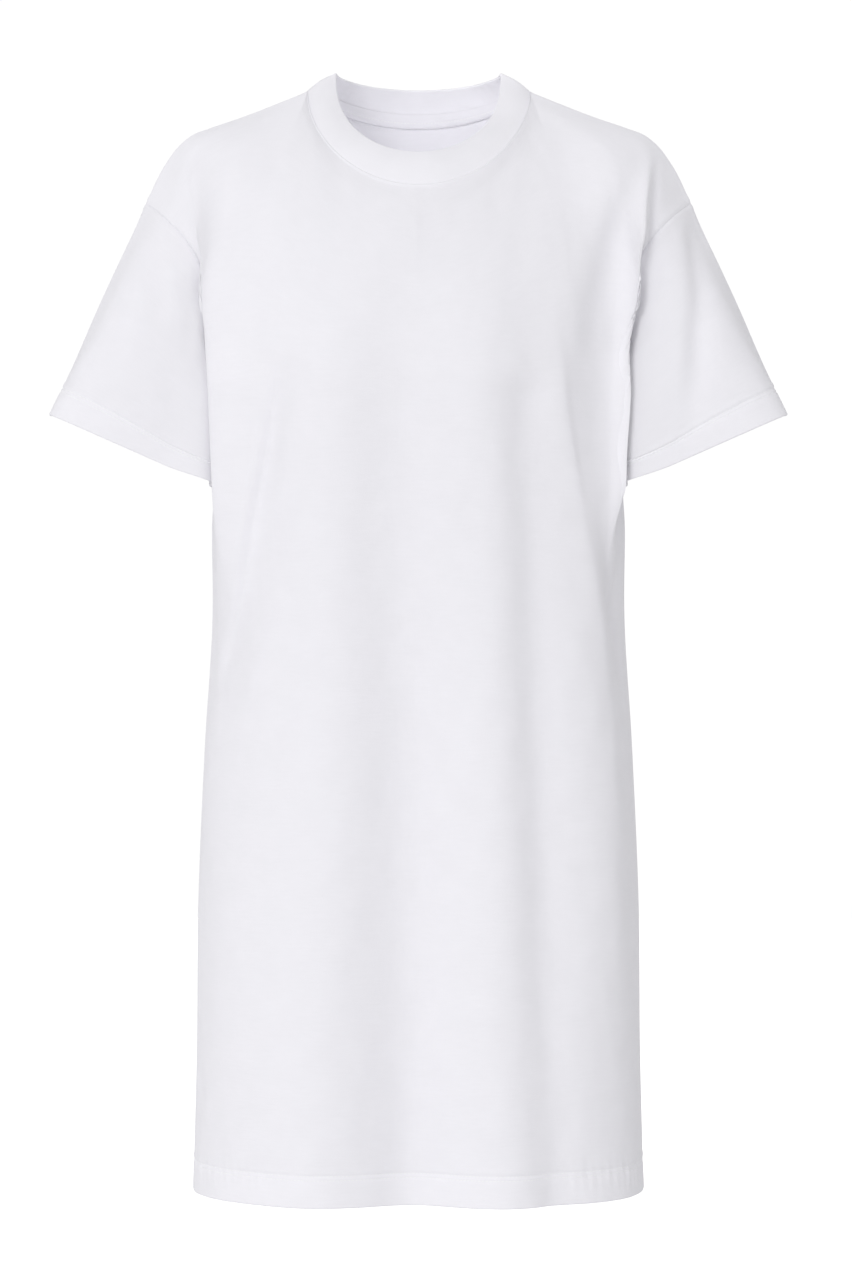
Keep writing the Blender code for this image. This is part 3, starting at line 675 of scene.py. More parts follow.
@dataclass(frozen=True)
class ClothMesh:
    """Turns grids of outer and inner points into one closed cloth wall.

    Its rows run up the outer face and down the inner one. The layers say how many extra layers of
    cloth lie at each outer point, which makes white cloth whiter.
    """

    name: str
    outer: np.ndarray
    inner: np.ndarray
    inner_step: int = 1
    closed: bool = False
    round_first: bool = False
    round_last: bool = False
    round_steps: int = 3
    full_rows: int = 24
    sharp_angle: float = 55.0
    layers: np.ndarray | None = None

    def rounded(self, row: int, beside: int) -> list[np.ndarray]:
        """Rows that round the wall's edge over from its outer to its inner face."""
        middle = (self.outer[row] + self.inner[row]) / 2
        arm = self.outer[row] - middle
        reach = np.linalg.norm(arm, axis=-1, keepdims=True)
        beyond = unit(self.outer[row] - self.outer[beside]) * reach
        turns = np.linspace(0.0, math.pi, self.round_steps + 2)[1:-1]
        return [middle + arm * math.cos(turn) + beyond * math.sin(turn) for turn in turns]

    def build(self, finish: bpy.types.Material) -> bpy.types.Object:
        """Make the object in one finish, with a UV map in metres round and up the cloth."""
        rows, columns = self.outer.shape[:2]
        kept = [row for row in range(rows) if row % self.inner_step == 0 or row == rows - 1]
        if self.inner_step > 1:
            kept = sorted(set(kept) | set(range(min(rows, self.full_rows))))
        last = self.rounded(-1, -2) if self.round_last else []
        first = self.rounded(0, 1)[::-1] if self.round_first else []
        ring = [*self.outer, *last, *self.inner[kept[::-1]], *first]
        beside = [*range(rows), *[rows - 1] * len(last), *kept[::-1], *[0] * len(first)]
        total = len(ring)
        tall = run_lengths(self.outer, 0)[beside, columns // 2]
        round_cloth = run_lengths(self.outer, 1)[rows // 3]
        middle = 0.0 if self.closed else round_cloth[columns // 2]
        gap = np.linalg.norm(self.outer[rows // 3, 0] - self.outer[rows // 3, -1])
        far = np.append(round_cloth, round_cloth[-1] + gap) - middle
        wide = columns if self.closed else columns - 1
        row, column = np.meshgrid(np.arange(total), np.arange(wide), indexing="ij")
        corners = ((row, column), (row, column + 1), (row + 1, column + 1), (row + 1, column))
        faces = [(r % total) * columns + c % columns for r, c in corners]
        faces = np.stack(faces, axis=-1).reshape(-1, 4).tolist()
        places = [(far[c], tall[r % total]) for r, c in corners]
        places = np.stack([np.stack(place, axis=-1) for place in places], axis=-2).reshape(-1, 2)
        rims = [] if self.closed else self.rims(kept, len(last), len(first), total)
        rim_corners = [corner for face in rims for corner in face]
        rim_places = [(far[corner % columns], tall[corner // columns]) for corner in rim_corners]
        mesh = bpy.data.meshes.new(self.name)
        mesh.from_pydata(np.concatenate(ring).tolist(), [], faces + rims)
        layer = mesh.uv_layers.new(name="cloth")
        places = np.concatenate((places, np.array(rim_places))) if rims else places
        layer.data.foreach_set("uv", places.reshape(-1).astype(np.float32))
        self.face_out(mesh)
        mesh.shade_smooth()
        mesh.set_sharp_from_angle(angle=math.radians(self.sharp_angle))
        layers = np.zeros(()) if self.layers is None else self.layers
        note(mesh, "layers", np.broadcast_to(layers, (rows, columns))[beside])
        mesh.materials.append(finish)
        return linked(self.name, mesh)

    def rims(self, kept: list[int], last: int, first: int, total: int) -> list[list[int]]:
        """Faces that close the wall at its first and last columns.

        Args:
            kept: The rows that the inner face keeps.
            last: How many rows round the last edge over.
            first: How many rows round the first edge over.
            total: How many rows the whole ring has.

        Returns:
            The faces, as lists of point numbers.
        """
        rows, columns = self.outer.shape[:2]
        faces = []
        for edge in (0, columns - 1):
            for number, (low, high) in enumerate(zip(kept[:-1], kept[1:])):
                inner_low = total - first - 1 - number
                ring = [*range(low, high + 1), inner_low - 1, inner_low]
                faces.append([row * columns + edge for row in ring])
            for start, end in ((rows - 1, rows + last), (total - first - 1, total)):
                if end - start > 1:
                    faces.append([row % total * columns + edge for row in range(start, end + 1)])
        half = len(faces) // 2
        return faces[:half] + [face[::-1] for face in faces[half:]]

    def face_out(self, mesh: bpy.types.Mesh) -> None:
        """Turn the closed wall's faces outwards if they face in."""
        mesh.calc_loop_triangles()
        corners = np.zeros(len(mesh.loop_triangles) * 3, np.int32)
        mesh.loop_triangles.foreach_get("vertices", corners)
        places = np.zeros(len(mesh.vertices) * 3, np.float32)
        mesh.vertices.foreach_get("co", places)
        a, b, c = places.reshape(-1, 3)[corners.reshape(-1, 3)].astype(float).transpose(1, 0, 2)
        if np.einsum("ij,ij->i", a, np.cross(b, c)).sum() < 0:
            mesh.flip_normals()


class NodeTree:
    """Short way to add nodes to a tree and join them."""

    def __init__(self, tree: bpy.types.NodeTree) -> None:
        """Keep the tree."""
        self.tree = tree

    def add(self, kind: str, settings: dict[str, object] | None = None, **inputs: object) -> bpy.types.Node:
        """Add a node.

        Args:
            kind: The node's type name.
            settings: Its own properties.
            **inputs: What goes into its sockets, by name with spaces as underscores, or i0, i1
                and so on by number: a node, for its first output, a socket, or a value.

        Returns:
            The node.
        """
        node = self.tree.nodes.new(kind)
        for key, value in (settings or {}).items():
            setattr(node, key, value)
        for key, value in inputs.items():
            value = value.outputs[0] if isinstance(value, bpy.types.Node) else value
            numbered = key[0] == "i" and key[1:].isdigit()
            socket = node.inputs[int(key[1:])] if numbered else node.inputs[key.replace("_", " ")]
            if isinstance(value, bpy.types.NodeSocket):
                self.tree.links.new(value, socket)
            else:
                socket.default_value = value
        return node

    def math(self, operation: str, *values: object) -> bpy.types.NodeSocket:
        """Add a Math node and return what it gives."""
        inputs = {f"i{number}": value for number, value in enumerate(values)}
        return self.add("ShaderNodeMath", {"operation": operation}, **inputs).outputs[0]

    def scaled(self, vector: object, factor: bpy.types.NodeSocket) -> bpy.types.NodeSocket:
        """Multiply a vector or a colour by a factor."""
        return self.add("ShaderNodeVectorMath", {"operation": "SCALE"}, i0=vector, Scale=factor).outputs[0]

    def join(self, start: bpy.types.NodeSocket, node: bpy.types.Node, label: str) -> None:
        """Join a socket to a node's input."""
        self.tree.links.new(start, node.inputs[label])

    def end(self, geometry: bpy.types.NodeSocket, finish: bpy.types.NodeSocket) -> None:
        """Make the geometry real, give it its material and end the tree with it."""
        real = self.add("GeometryNodeRealizeInstances", Geometry=geometry)
        done = self.add("GeometryNodeSetMaterial", Geometry=real, Material=finish)
        self.add("NodeGroupOutput", i0=done)


def new_group(name: str, inputs: dict[str, str], result: str) -> bpy.types.NodeTree:
    """Start a Geometry Nodes tree.

    Args:
        name: Its name.
        inputs: The kind of each input, by label.
        result: The label of the geometry that it gives.

    Returns:
        The tree, with its sockets.
    """
    group = bpy.data.node_groups.new(name, "GeometryNodeTree")
    for label, kind in inputs.items():
        group.interface.new_socket(label, in_out="INPUT", socket_type="NodeSocket" + kind)
    group.interface.new_socket(result, in_out="OUTPUT", socket_type="NodeSocketGeometry")
    return group


def principled(name: str, sizes: dict[str, object]) -> tuple[bpy.types.Material, NodeTree, bpy.types.Node]:
    """Start a material.

    Args:
        name: Its name.
        sizes: The shader's inputs that are the same all over, by label.

    Returns:
        The material, its nodes and its shader.
    """
    material = bpy.data.materials.new(name)
    material.use_nodes = True
    shader = material.node_tree.nodes["Principled BSDF"]
    for label, value in sizes.items():
        shader.inputs[label].default_value = value
    return material, NodeTree(material.node_tree), shader


@dataclass(frozen=True)
class KnitFinish:
    """Cotton knit: its colour, nap, loops with painted shade in their grooves, uneven yarn and slight
    mottling.
    """

    name: str
    colour: Triple
    roughness: float = 0.92
    specular: float = 0.25
    sheen: float = 0.25
    sheen_roughness: float = 0.45
    wale: float = 0.00095
    course: float = 0.00070
    slant: float = 1.1
    slant_share: float = 0.45
    # Painted shade: how much darker the knit's grooves are coloured.
    knit_groove_shade: float = 0.006
    loop_bump: float = 0.00006
    streak: float = 0.012
    streak_scale: Triple = (70.0, 560.0, 1.0)
    streak_detail: float = 3.0
    streak_bump: float = 0.00004
    mottle: float = 0.018
    mottle_scale: Triple = (38.0, 46.0, 1.0)
    mottle_detail: float = 5.0
    nap_scale: Triple = (2300.0, 2300.0, 1.0)
    nap_detail: float = 2.0
    nap_bump: float = 0.00003
    layer_gain: float = 0.020

    def material(self) -> bpy.types.Material:
        """Build the material."""
        sizes = {"Roughness": self.roughness, "Specular IOR Level": self.specular}
        sizes.update({"Sheen Weight": self.sheen, "Sheen Roughness": self.sheen_roughness})
        material, nodes, shader = principled(self.name, sizes)
        place = nodes.add("ShaderNodeUVMap", {"uv_map": "cloth"}).outputs["UV"]
        split = nodes.add("ShaderNodeSeparateXYZ", Vector=place)
        wales = nodes.math("DIVIDE", split.outputs["X"], self.wale)
        courses = nodes.math("DIVIDE", split.outputs["Y"], self.course)
        leg = nodes.math("PINGPONG", wales, 0.5)
        slant = nodes.math("MULTIPLY_ADD", leg, self.slant, courses)
        loops = nodes.math("SINE", nodes.math("MULTIPLY", slant, 2 * math.pi))
        valley = nodes.math("SINE", nodes.math("MULTIPLY", leg, 2 * math.pi))
        knit = nodes.math("MULTIPLY_ADD", loops, self.slant_share, valley)
        streaks = self.noise(nodes, place, self.streak_scale, self.streak_detail)
        mottle = self.noise(nodes, place, self.mottle_scale, self.mottle_detail)
        nap = self.noise(nodes, place, self.nap_scale, self.nap_detail)
        tone = 1.0
        uneven = (streaks, 0.5, self.streak * 2), (mottle, 0.5, self.mottle * 2)
        # The knit's relief also darkens the colour in its grooves, as painted shade; streaks and mottle are
        # the yarn's own uneven tone.
        for source, middle, gain in (*uneven, (knit, 1.0, self.knit_groove_shade)):
            tone = nodes.math("MULTIPLY_ADD", nodes.math("SUBTRACT", source, middle), gain, tone)
        layers = nodes.add("ShaderNodeAttribute", {"attribute_name": "layers"}).outputs["Fac"]
        tone = nodes.math("MULTIPLY_ADD", layers, self.layer_gain, tone)
        nodes.join(nodes.scaled(self.colour, tone), shader, "Base Color")
        height = nodes.math("MULTIPLY", knit, self.loop_bump)
        for source, bump in ((streaks, self.streak_bump), (nap, self.nap_bump)):
            height = nodes.math("MULTIPLY_ADD", source, bump * 2, height)
        bump = nodes.add("ShaderNodeBump", Height=height, Strength=1.0, Distance=1.0)
        nodes.join(bump.outputs["Normal"], shader, "Normal")
        return material

    def noise(
        self, nodes: NodeTree, place: bpy.types.NodeSocket, scale: Triple, detail: float
    ) -> bpy.types.NodeSocket:
        """Noise stretched over the cloth.

        Args:
            nodes: The material's nodes.
            place: Place on the cloth, in metres.
            scale: Cycles a metre, round and up the cloth.
            detail: How many finer layers it has.

        Returns:
            The noise, about 0.5 in the middle.
        """
        mapped = nodes.add("ShaderNodeMapping", Vector=place, Scale=scale).outputs[0]
        noise = nodes.add(
            "ShaderNodeTexNoise", {"noise_dimensions": "2D"}, Vector=mapped, Scale=1.0, Detail=detail
        )
        return noise.outputs["Fac"]


@dataclass(frozen=True)
class ThreadFinish:
    """Sewing thread: spun, a little glossier than the cloth."""

    name: str = "sewing_thread"
    colour: Triple = (0.90, 0.905, 0.91)
    roughness: float = 0.55
    sheen: float = 0.15
    twist: float = 2600.0
    tones: Pair = (0.06, 0.97)

    def material(self) -> bpy.types.Material:
        """Build the material."""
        sizes = {"Roughness": self.roughness, "Sheen Weight": self.sheen}
        material, nodes, shader = principled(self.name, sizes)
        place = nodes.add("ShaderNodeTexCoord").outputs["Object"]
        plies = nodes.add("ShaderNodeTexNoise", Vector=place, Scale=self.twist, Detail=1.0)
        tone = nodes.math("MULTIPLY_ADD", plies.outputs["Fac"], *self.tones)
        nodes.join(nodes.scaled(self.colour, tone), shader, "Base Color")
        return material


JERSEY = KnitFinish("white_jersey", (0.850, 0.8415, 0.884))
RIB = KnitFinish(
    "white_rib", (0.856, 0.8475, 0.889), wale=0.00115, course=0.00080, streak=0.008, loop_bump=0.00007
)
TAPE = KnitFinish(
    "white_tape", (0.850, 0.8420, 0.882), wale=0.00120, course=0.00060, streak=0.006, mottle=0.008
)


def grown(
    item: bpy.types.Object, group: bpy.types.NodeTree, name: str, values: dict[str, object]
) -> bpy.types.Object:
    """Run a Geometry Nodes tree on an object and keep what it gives as a plain mesh.

    Args:
        item: The object, which is removed.
        group: The tree.
        name: The new object's name.
        values: The tree's inputs, by label; the material's label is Finish.

    Returns:
        The new object, at the origin.
    """
    modifier = item.modifiers.new("nodes", "NODES")
    modifier.node_group = group
    for socket in group.interface.items_tree:
        if socket.name in values:
            modifier[socket.identifier] = values[socket.name]
    graph = bpy.context.evaluated_depsgraph_get()
    mesh = bpy.data.meshes.new_from_object(item.evaluated_get(graph), depsgraph=graph)
    bpy.data.objects.remove(item)
    mesh.name = name
    if not mesh.materials:
        mesh.materials.append(values["Finish"])
    return linked(name, mesh)


@dataclass
class StitchRow:
    """Rows of stitches along paths on the cloth, made by one Geometry Nodes tree."""

    name: str
    pitch: float = 0.0031
    length: float = 0.0026
    width: float = 0.00050
    height: float = 0.00042
    stretch: Pair = (0.90, 1.08)
    bead: tuple[int, int] = (8, 5)
    seed: int = 7
    paths: list[tuple[np.ndarray, np.ndarray]] = field(default_factory=list)

    def follow(self, points: np.ndarray, normals: np.ndarray, closed: bool = False) -> None:
        """Add a path with the cloth's normal at each point of it."""
        if closed:
            points = np.concatenate((points, points[:1]))
            normals = np.concatenate((normals, normals[:1]))
        self.paths.append((points, normals))

    def tree(self) -> bpy.types.NodeTree:
        """Build the tree: stitches laid along every path, made real, with their material."""
        sizes = dict.fromkeys(("Pitch", "Length", "Width", "Height"), "Float")
        inputs = {"Paths": "Geometry", **sizes, "Seed": "Int", "Finish": "Material"}
        group = new_group(self.name + "_rows", inputs, "Stitches")
        nodes = NodeTree(group)
        given = nodes.add("NodeGroupInput").outputs
        curve = nodes.add("GeometryNodeMeshToCurve", Mesh=given["Paths"])
        evened = nodes.add(
            "GeometryNodeResampleCurve", {"mode": "LENGTH"}, Curve=curve, Length=given["Pitch"]
        )
        segments, rings = self.bead
        bead = nodes.add("GeometryNodeMeshUVSphere", Segments=segments, Rings=rings, Radius=0.5)
        size = nodes.add("ShaderNodeCombineXYZ", X=given["Length"], Y=given["Width"], Z=given["Height"])
        shaped = nodes.add("GeometryNodeTransform", Geometry=bead, Scale=size)
        smooth = nodes.add("GeometryNodeSetShadeSmooth", Geometry=shaped)
        vector = {"data_type": "FLOAT_VECTOR"}
        normal = nodes.add("GeometryNodeInputNamedAttribute", vector, Name="cloth_normal")
        tangent = nodes.add("GeometryNodeInputTangent")
        course = nodes.add("FunctionNodeAlignRotationToVector", {"axis": "X"}, Vector=tangent)
        axes = {"axis": "Z", "pivot_axis": "X"}
        upright = nodes.add("FunctionNodeAlignRotationToVector", axes, Rotation=course, Vector=normal)
        low, high = self.stretch
        random = {"data_type": "FLOAT"}
        stretch = nodes.add("FunctionNodeRandomValue", random, i2=low, i3=high, Seed=given["Seed"])
        placed = nodes.add(
            "GeometryNodeInstanceOnPoints",
            Points=evened,
            Instance=smooth,
            Rotation=upright,
            Scale=stretch.outputs[1],
        )
        nodes.end(placed.outputs[0], given["Finish"])
        return group

    def build(self, thread: bpy.types.Material) -> bpy.types.Object:
        """Make the stitches as one plain mesh.

        Args:
            thread: Their material.

        Returns:
            The object, at the origin.
        """
        points, normals, edges, start = [], [], [], 0
        for path, facing in self.paths:
            points.extend(path.tolist())
            normals.append(facing)
            edges.extend((start + step, start + step + 1) for step in range(len(path) - 1))
            start += len(path)
        mesh = bpy.data.meshes.new(self.name)
        mesh.from_pydata(points, edges, [])
        note(mesh, "cloth_normal", np.concatenate(normals), vector=True)
        values = {"Pitch": self.pitch, "Length": self.length, "Width": self.width, "Height": self.height}
        values.update(Seed=self.seed, Finish=thread)
        return grown(linked(self.name + "_paths", mesh), self.tree(), self.name, values)


# The body's finer creases. Each row is a stop, as Crease says.
BODY_CREASES = {
    Panel.FRONT: (
        Crease((
            (-0.1096, -0.214, 0.0003, 0.0036, 0.012), (-0.1148, -0.246, 0.003, 0.0034, 0.014),
            (-0.1188, -0.268, 0.0044, 0.0033, 0.016), (-0.1244, -0.299, 0.0052, 0.0033, 0.018),
            (-0.1332, -0.342, 0.0056, 0.0034, 0.02), (-0.1404, -0.385, 0.0056, 0.0036, 0.02),
            (-0.1466, -0.42, 0.0052, 0.0038, 0.02), (-0.153, -0.45, 0.0042, 0.0044, 0.018),
            (-0.159, -0.49, 0.0006, 0.006, 0.016),
        )),
        Crease((
            (0.174, -0.058, 0.0001, 0.008, 0.01), (0.171, -0.078, 0.003, 0.01, 0.014),
            (0.167, -0.098, 0.006, 0.012, 0.015), (0.164, -0.114, 0.0072, 0.014, 0.016),
            (0.1616, -0.13, 0.008, 0.015, 0.016), (0.1596, -0.146, 0.0084, 0.0165, 0.016),
            (0.158, -0.162, 0.0088, 0.0185, 0.016), (0.1576, -0.178, 0.0092, 0.021, 0.016),
            (0.158, -0.194, 0.0096, 0.024, 0.015), (0.158, -0.212, 0.0098, 0.026, 0.014),
            (0.156, -0.25, 0.0098, 0.025, 0.014), (0.156, -0.29, 0.0098, 0.022, 0.014),
            (0.156, -0.33, 0.0094, 0.017, 0.012), (0.158, -0.37, 0.009, 0.0135, 0.01),
            (0.162, -0.41, 0.0084, 0.011, 0.009), (0.168, -0.45, 0.006, 0.011, 0.009),
            (0.174, -0.5, 0.001, 0.014, 0.01),
        )),
        Crease((
            (0.132, -0.35, -0.0001, 0.02, 0.011), (0.138, -0.39, -0.0026, 0.024, 0.011),
            (0.143, -0.43, -0.0042, 0.027, 0.011), (0.147, -0.48, -0.0054, 0.03, 0.013),
            (0.15, -0.54, -0.0054, 0.031, 0.014), (0.152, -0.62, -0.0044, 0.031, 0.015),
            (0.154, -0.7, -0.003, 0.03, 0.015), (0.156, -0.78, -0.0016, 0.03, 0.015),
            (0.157, -0.86, -0.0001, 0.03, 0.015),
        )),
        Crease((
            (0.109, -0.196, -0.0001, 0.01, 0.006), (0.111, -0.212, -0.0012, 0.012, 0.0058),
            (0.1144, -0.235, -0.002, 0.012, 0.0054), (0.116, -0.25, -0.0024, 0.012, 0.0052),
            (0.122, -0.29, -0.0024, 0.012, 0.0052), (0.129, -0.33, -0.0018, 0.013, 0.006),
            (0.135, -0.37, -0.0014, 0.013, 0.007), (0.141, -0.41, -0.0008, 0.013, 0.008),
            (0.148, -0.46, -0.0001, 0.013, 0.009),
        )),
        Crease((
            (-0.201, -0.072, -0.0001, 0.0026, 0.0026), (-0.1965, -0.092, -0.001, 0.0026, 0.0026),
            (-0.185, -0.12, -0.0002, 0.0026, 0.0026),
        )),
        Crease((
            (-0.1935, -0.076, 0.0001, 0.0026, 0.0026), (-0.19, -0.096, 0.0009, 0.0026, 0.0026),
            (-0.183, -0.116, 0.0002, 0.0026, 0.0026),
        )),
        Crease((
            (-0.185, -0.052, -0.0001, 0.003, 0.0024), (-0.1826, -0.066, -0.0012, 0.0032, 0.0024),
            (-0.1806, -0.086, -0.0014, 0.0032, 0.0024), (-0.1796, -0.108, -0.001, 0.0034, 0.0024),
            (-0.179, -0.128, -0.0001, 0.0036, 0.0026),
        )),
    ),
    Panel.BACK: (
        Crease((
            (-0.156, -0.226, 0.0002, 0.006, 0.006), (-0.146, -0.25, 0.003, 0.006, 0.007),
            (-0.134, -0.286, 0.0042, 0.006, 0.009), (-0.122, -0.33, 0.003, 0.007, 0.011),
            (-0.113, -0.372, 0.0002, 0.008, 0.012),
        )),
        Crease((
            (0.159, -0.232, 0.0002, 0.006, 0.006), (0.148, -0.262, 0.0034, 0.007, 0.006),
            (0.134, -0.306, 0.0044, 0.009, 0.006), (0.119, -0.36, 0.0028, 0.011, 0.007),
            (0.109, -0.404, 0.0002, 0.012, 0.008),
        )),
        Crease((
            (-0.15, -0.128, 0.0002, 0.006, 0.008), (-0.144, -0.152, 0.0024, 0.006, 0.009),
            (-0.136, -0.18, 0.0026, 0.007, 0.011), (-0.126, -0.214, 0.0002, 0.008, 0.012),
        )),
        Crease((
            (0.154, -0.118, 0.0002, 0.008, 0.006), (0.148, -0.144, 0.0022, 0.009, 0.006),
            (0.14, -0.176, 0.0024, 0.011, 0.007), (0.13, -0.208, 0.0002, 0.012, 0.008),
        )),
    ),
}


@dataclass
class BodyPanels:
    """Front and back: outer grids with creases, seams and hem, and the walls made from them."""

    form: DressForm
    hem: Hem = Hem()
    seam: SeamEdge = SeamEdge()
    neck_seam: SeamEdge = SeamEdge(0.0, 0.0010, 0.0010, 0.0015, 0.0013)
    neck_layers: float = 1.6
    neck_layers_width: float = 0.0022
    neck_turn: float = 0.02
    wall: float = 0.0010
    step_across: float = 0.0140
    step_at_folds: float = 0.0068
    folds_reach: float = 0.56
    half_girth: float = 0.245
    armhole_rise: float = 0.215
    calm: Pair = (0.004, 0.040)
    inner_step: int = 2
    step_up: float = 0.0046
    gap: float = 0.00005
    drape: Unevenness = Unevenness(11, 0.00045, (0.06, 0.16), (0.30, 0.90))
    grain: Unevenness = Unevenness(23, 0.00010, (0.016, 0.045), (0.05, 0.16), 22)
    creases: dict[Panel, tuple[Crease, ...]] = field(default_factory=lambda: BODY_CREASES)
    grids: dict[Panel, np.ndarray] = field(default_factory=dict)
    normals: dict[Panel, np.ndarray] = field(default_factory=dict)
    layers: dict[Panel, np.ndarray] = field(default_factory=dict)

    def __post_init__(self) -> None:
        """Work out the rows and columns."""
        fine = tuple(away / self.half_girth for away in self.seam.fine)
        near = spaced(0.0, self.folds_reach, fine, self.step_at_folds)
        far = np.arange(self.folds_reach, 1.0, self.step_across)[1:]
        self.across = 1.0 - np.concatenate((near, far, [1.0]))[::-1]
        middle = np.abs(self.across - self.form.neck_share).argmin()
        self.across[middle] = self.form.neck_share
        bottom = self.form.sections[0].height
        self.heights = spaced(bottom, self.form.chest, self.hem.fine, self.step_up)
        fine_up = tuple(away / self.armhole_rise for away in self.seam.fine)
        step = self.step_up / self.armhole_rise
        self.parts = 1.0 - spaced(0.0, 1.0 - step, fine_up, step)[::-1]

    def shape(self) -> None:
        """Work out the outer points of both panels."""
        for panel in Panel:
            grid = self.form.panel(panel, self.across, self.heights, self.parts)
            normals = grid_normals(grid) * -panel.value
            round_cloth = run_lengths(grid, 1)
            to_side = np.minimum(round_cloth, round_cloth[:, -1:] - round_cloth)
            up_cloth = run_lengths(grid, 0)
            to_top = up_cloth[-1:] - up_cloth
            inside = ease(*self.calm, to_side) * ease(*self.calm, to_top)
            place = round_cloth - round_cloth[:, -1:] / 2
            lift = self.drape.lift(place + panel.value, up_cloth) * inside
            lift = lift + self.grain.lift(place + panel.value, up_cloth) * inside
            for crease in self.creases[panel]:
                lift = lift - crease.press(grid[..., 0], grid[..., 2]) * inside
            turn = self.form.neck_share
            at_neck = 1.0 - ease(turn - self.neck_turn, turn + self.neck_turn, np.abs(self.sides()))
            at_neck = np.broadcast_to(at_neck, lift.shape)
            lift = lift + self.seam.lift(to_side) + self.seam.lift(to_top) * (1.0 - at_neck)
            lift = lift + self.neck_seam.lift(to_top) * at_neck
            lift = lift + self.hem.lift(up_cloth, place)
            ridge = bell(to_top - self.neck_seam.ridge_at, self.neck_layers_width)
            self.layers[panel] = self.hem.layers(up_cloth) + self.neck_layers * ridge * at_neck
            self.grids[panel] = grid + normals * lift[..., None]
            self.normals[panel] = grid_normals(self.grids[panel]) * -panel.value
        self.share_seams()

    def sides(self) -> np.ndarray:
        """The columns of a whole panel, from -1 at the seam at -X to 1 at +X."""
        return np.concatenate((-self.across[:0:-1], self.across))

    def share_seams(self) -> None:
        """Join the panels' points and normals at the side and shoulder seams."""
        front, back = self.grids[Panel.FRONT], self.grids[Panel.BACK]
        shared = np.zeros(front.shape[:2], bool)
        shared[: len(self.heights), (0, -1)] = True
        shared[-1, :] = True
        half = len(self.across) - 1
        neck = int(np.abs(self.across - self.form.neck_share).argmin())
        shared[-1, half - neck + 1 : half + neck] = False
        point = (front + back)[shared] / 2
        normal = unit((self.normals[Panel.FRONT] + self.normals[Panel.BACK])[shared])
        for panel in Panel:
            self.grids[panel][shared] = point
            self.normals[panel][shared] = normal

    def pulled_back(self, outer: np.ndarray, inner: np.ndarray) -> None:
        """Leave half the seam gap at the side and shoulder edges, along the panel."""
        lower = slice(0, len(self.heights))
        for edge, beside in ((0, 1), (-1, -2)):
            shift = unit(outer[lower, beside] - outer[lower, edge]) * self.gap
            outer[lower, edge] += shift
            inner[lower, edge] += shift
        shift = unit(outer[-2] - outer[-1]) * self.gap
        outer[-1] += shift
        inner[-1] += shift

    def build(self, finish: bpy.types.Material) -> dict[Panel, bpy.types.Object]:
        """Make both panels.

        Args:
            finish: The jersey's material.

        Returns:
            The object of each panel.
        """
        self.shape()
        made = {}
        for panel in Panel:
            outer = self.grids[panel].copy()
            above = run_lengths(outer, 0)
            thickness = self.hem.wall(above, self.wall)[..., None]
            inner = outer - self.normals[panel] * thickness
            self.pulled_back(outer, inner)
            name = "jersey_" + panel.name.lower()
            wall = ClothMesh(name, outer, inner, self.inner_step, round_first=True)
            made[panel] = replace(wall, layers=self.layers[panel]).build(finish)
        return made

    def hem_row(self, panel: Panel, height: float) -> tuple[np.ndarray, np.ndarray]:
        """Points and normals of the outer face along the hem, at a height above its edge."""
        grid, normals = self.grids[panel], self.normals[panel]
        above = run_lengths(grid, 0)[:, 0]
        row = int(np.abs(above - height).argmin())
        return grid[row], normals[row]


def sew_on(item: bpy.types.Object, slot: Slot, nodes: tuple[str, ...] = ()) -> bpy.types.Object:
    """Let a finished piece ride on the body and stand for its CAD nodes."""
    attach(item, BODY)
    if nodes:
        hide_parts(*nodes)
    LOG.info("%s: %d faces", item.name, len(item.data.polygons))
    return item


# The sleeves' soft folds: degrees round, first and last part of the length, depth, width in degrees.
SLEEVE_FOLDS = {
    Side.RIGHT: ((262.0, 0.1, 0.75, 0.004, 18.0),),
    Side.LEFT: ((268.0, 0.1, 0.75, 0.004, 18.0),),
}

# The sleeves' finer creases.
SLEEVE_CREASES = {
    Side.RIGHT: (
        Crease((
            (-0.216, -0.1, 0.0004, 0.008, 0.008), (-0.213, -0.13, 0.0022, 0.009, 0.009),
            (-0.209, -0.165, 0.0026, 0.01, 0.01), (-0.211, -0.2, 0.0018, 0.011, 0.011),
            (-0.218, -0.235, 0.0002, 0.012, 0.012),
        )),
        Crease((
            (-0.196, -0.118, 0.0003, 0.004, 0.004), (-0.193, -0.135, 0.0014, 0.0045, 0.0045),
            (-0.189, -0.156, 0.0002, 0.006, 0.006),
        )),
    ),
    Side.LEFT: (
        Crease((
            (0.215, -0.082, 0.0004, 0.007, 0.008), (0.2194, -0.1, 0.003, 0.0075, 0.009),
            (0.225, -0.125, 0.0048, 0.008, 0.01), (0.2283, -0.154, 0.0058, 0.008, 0.011),
            (0.2251, -0.194, 0.0062, 0.008, 0.012), (0.2228, -0.228, 0.005, 0.0085, 0.013),
            (0.221, -0.262, 0.002, 0.01, 0.014), (0.22, -0.285, 0.0002, 0.012, 0.015),
        )),
    ),
}


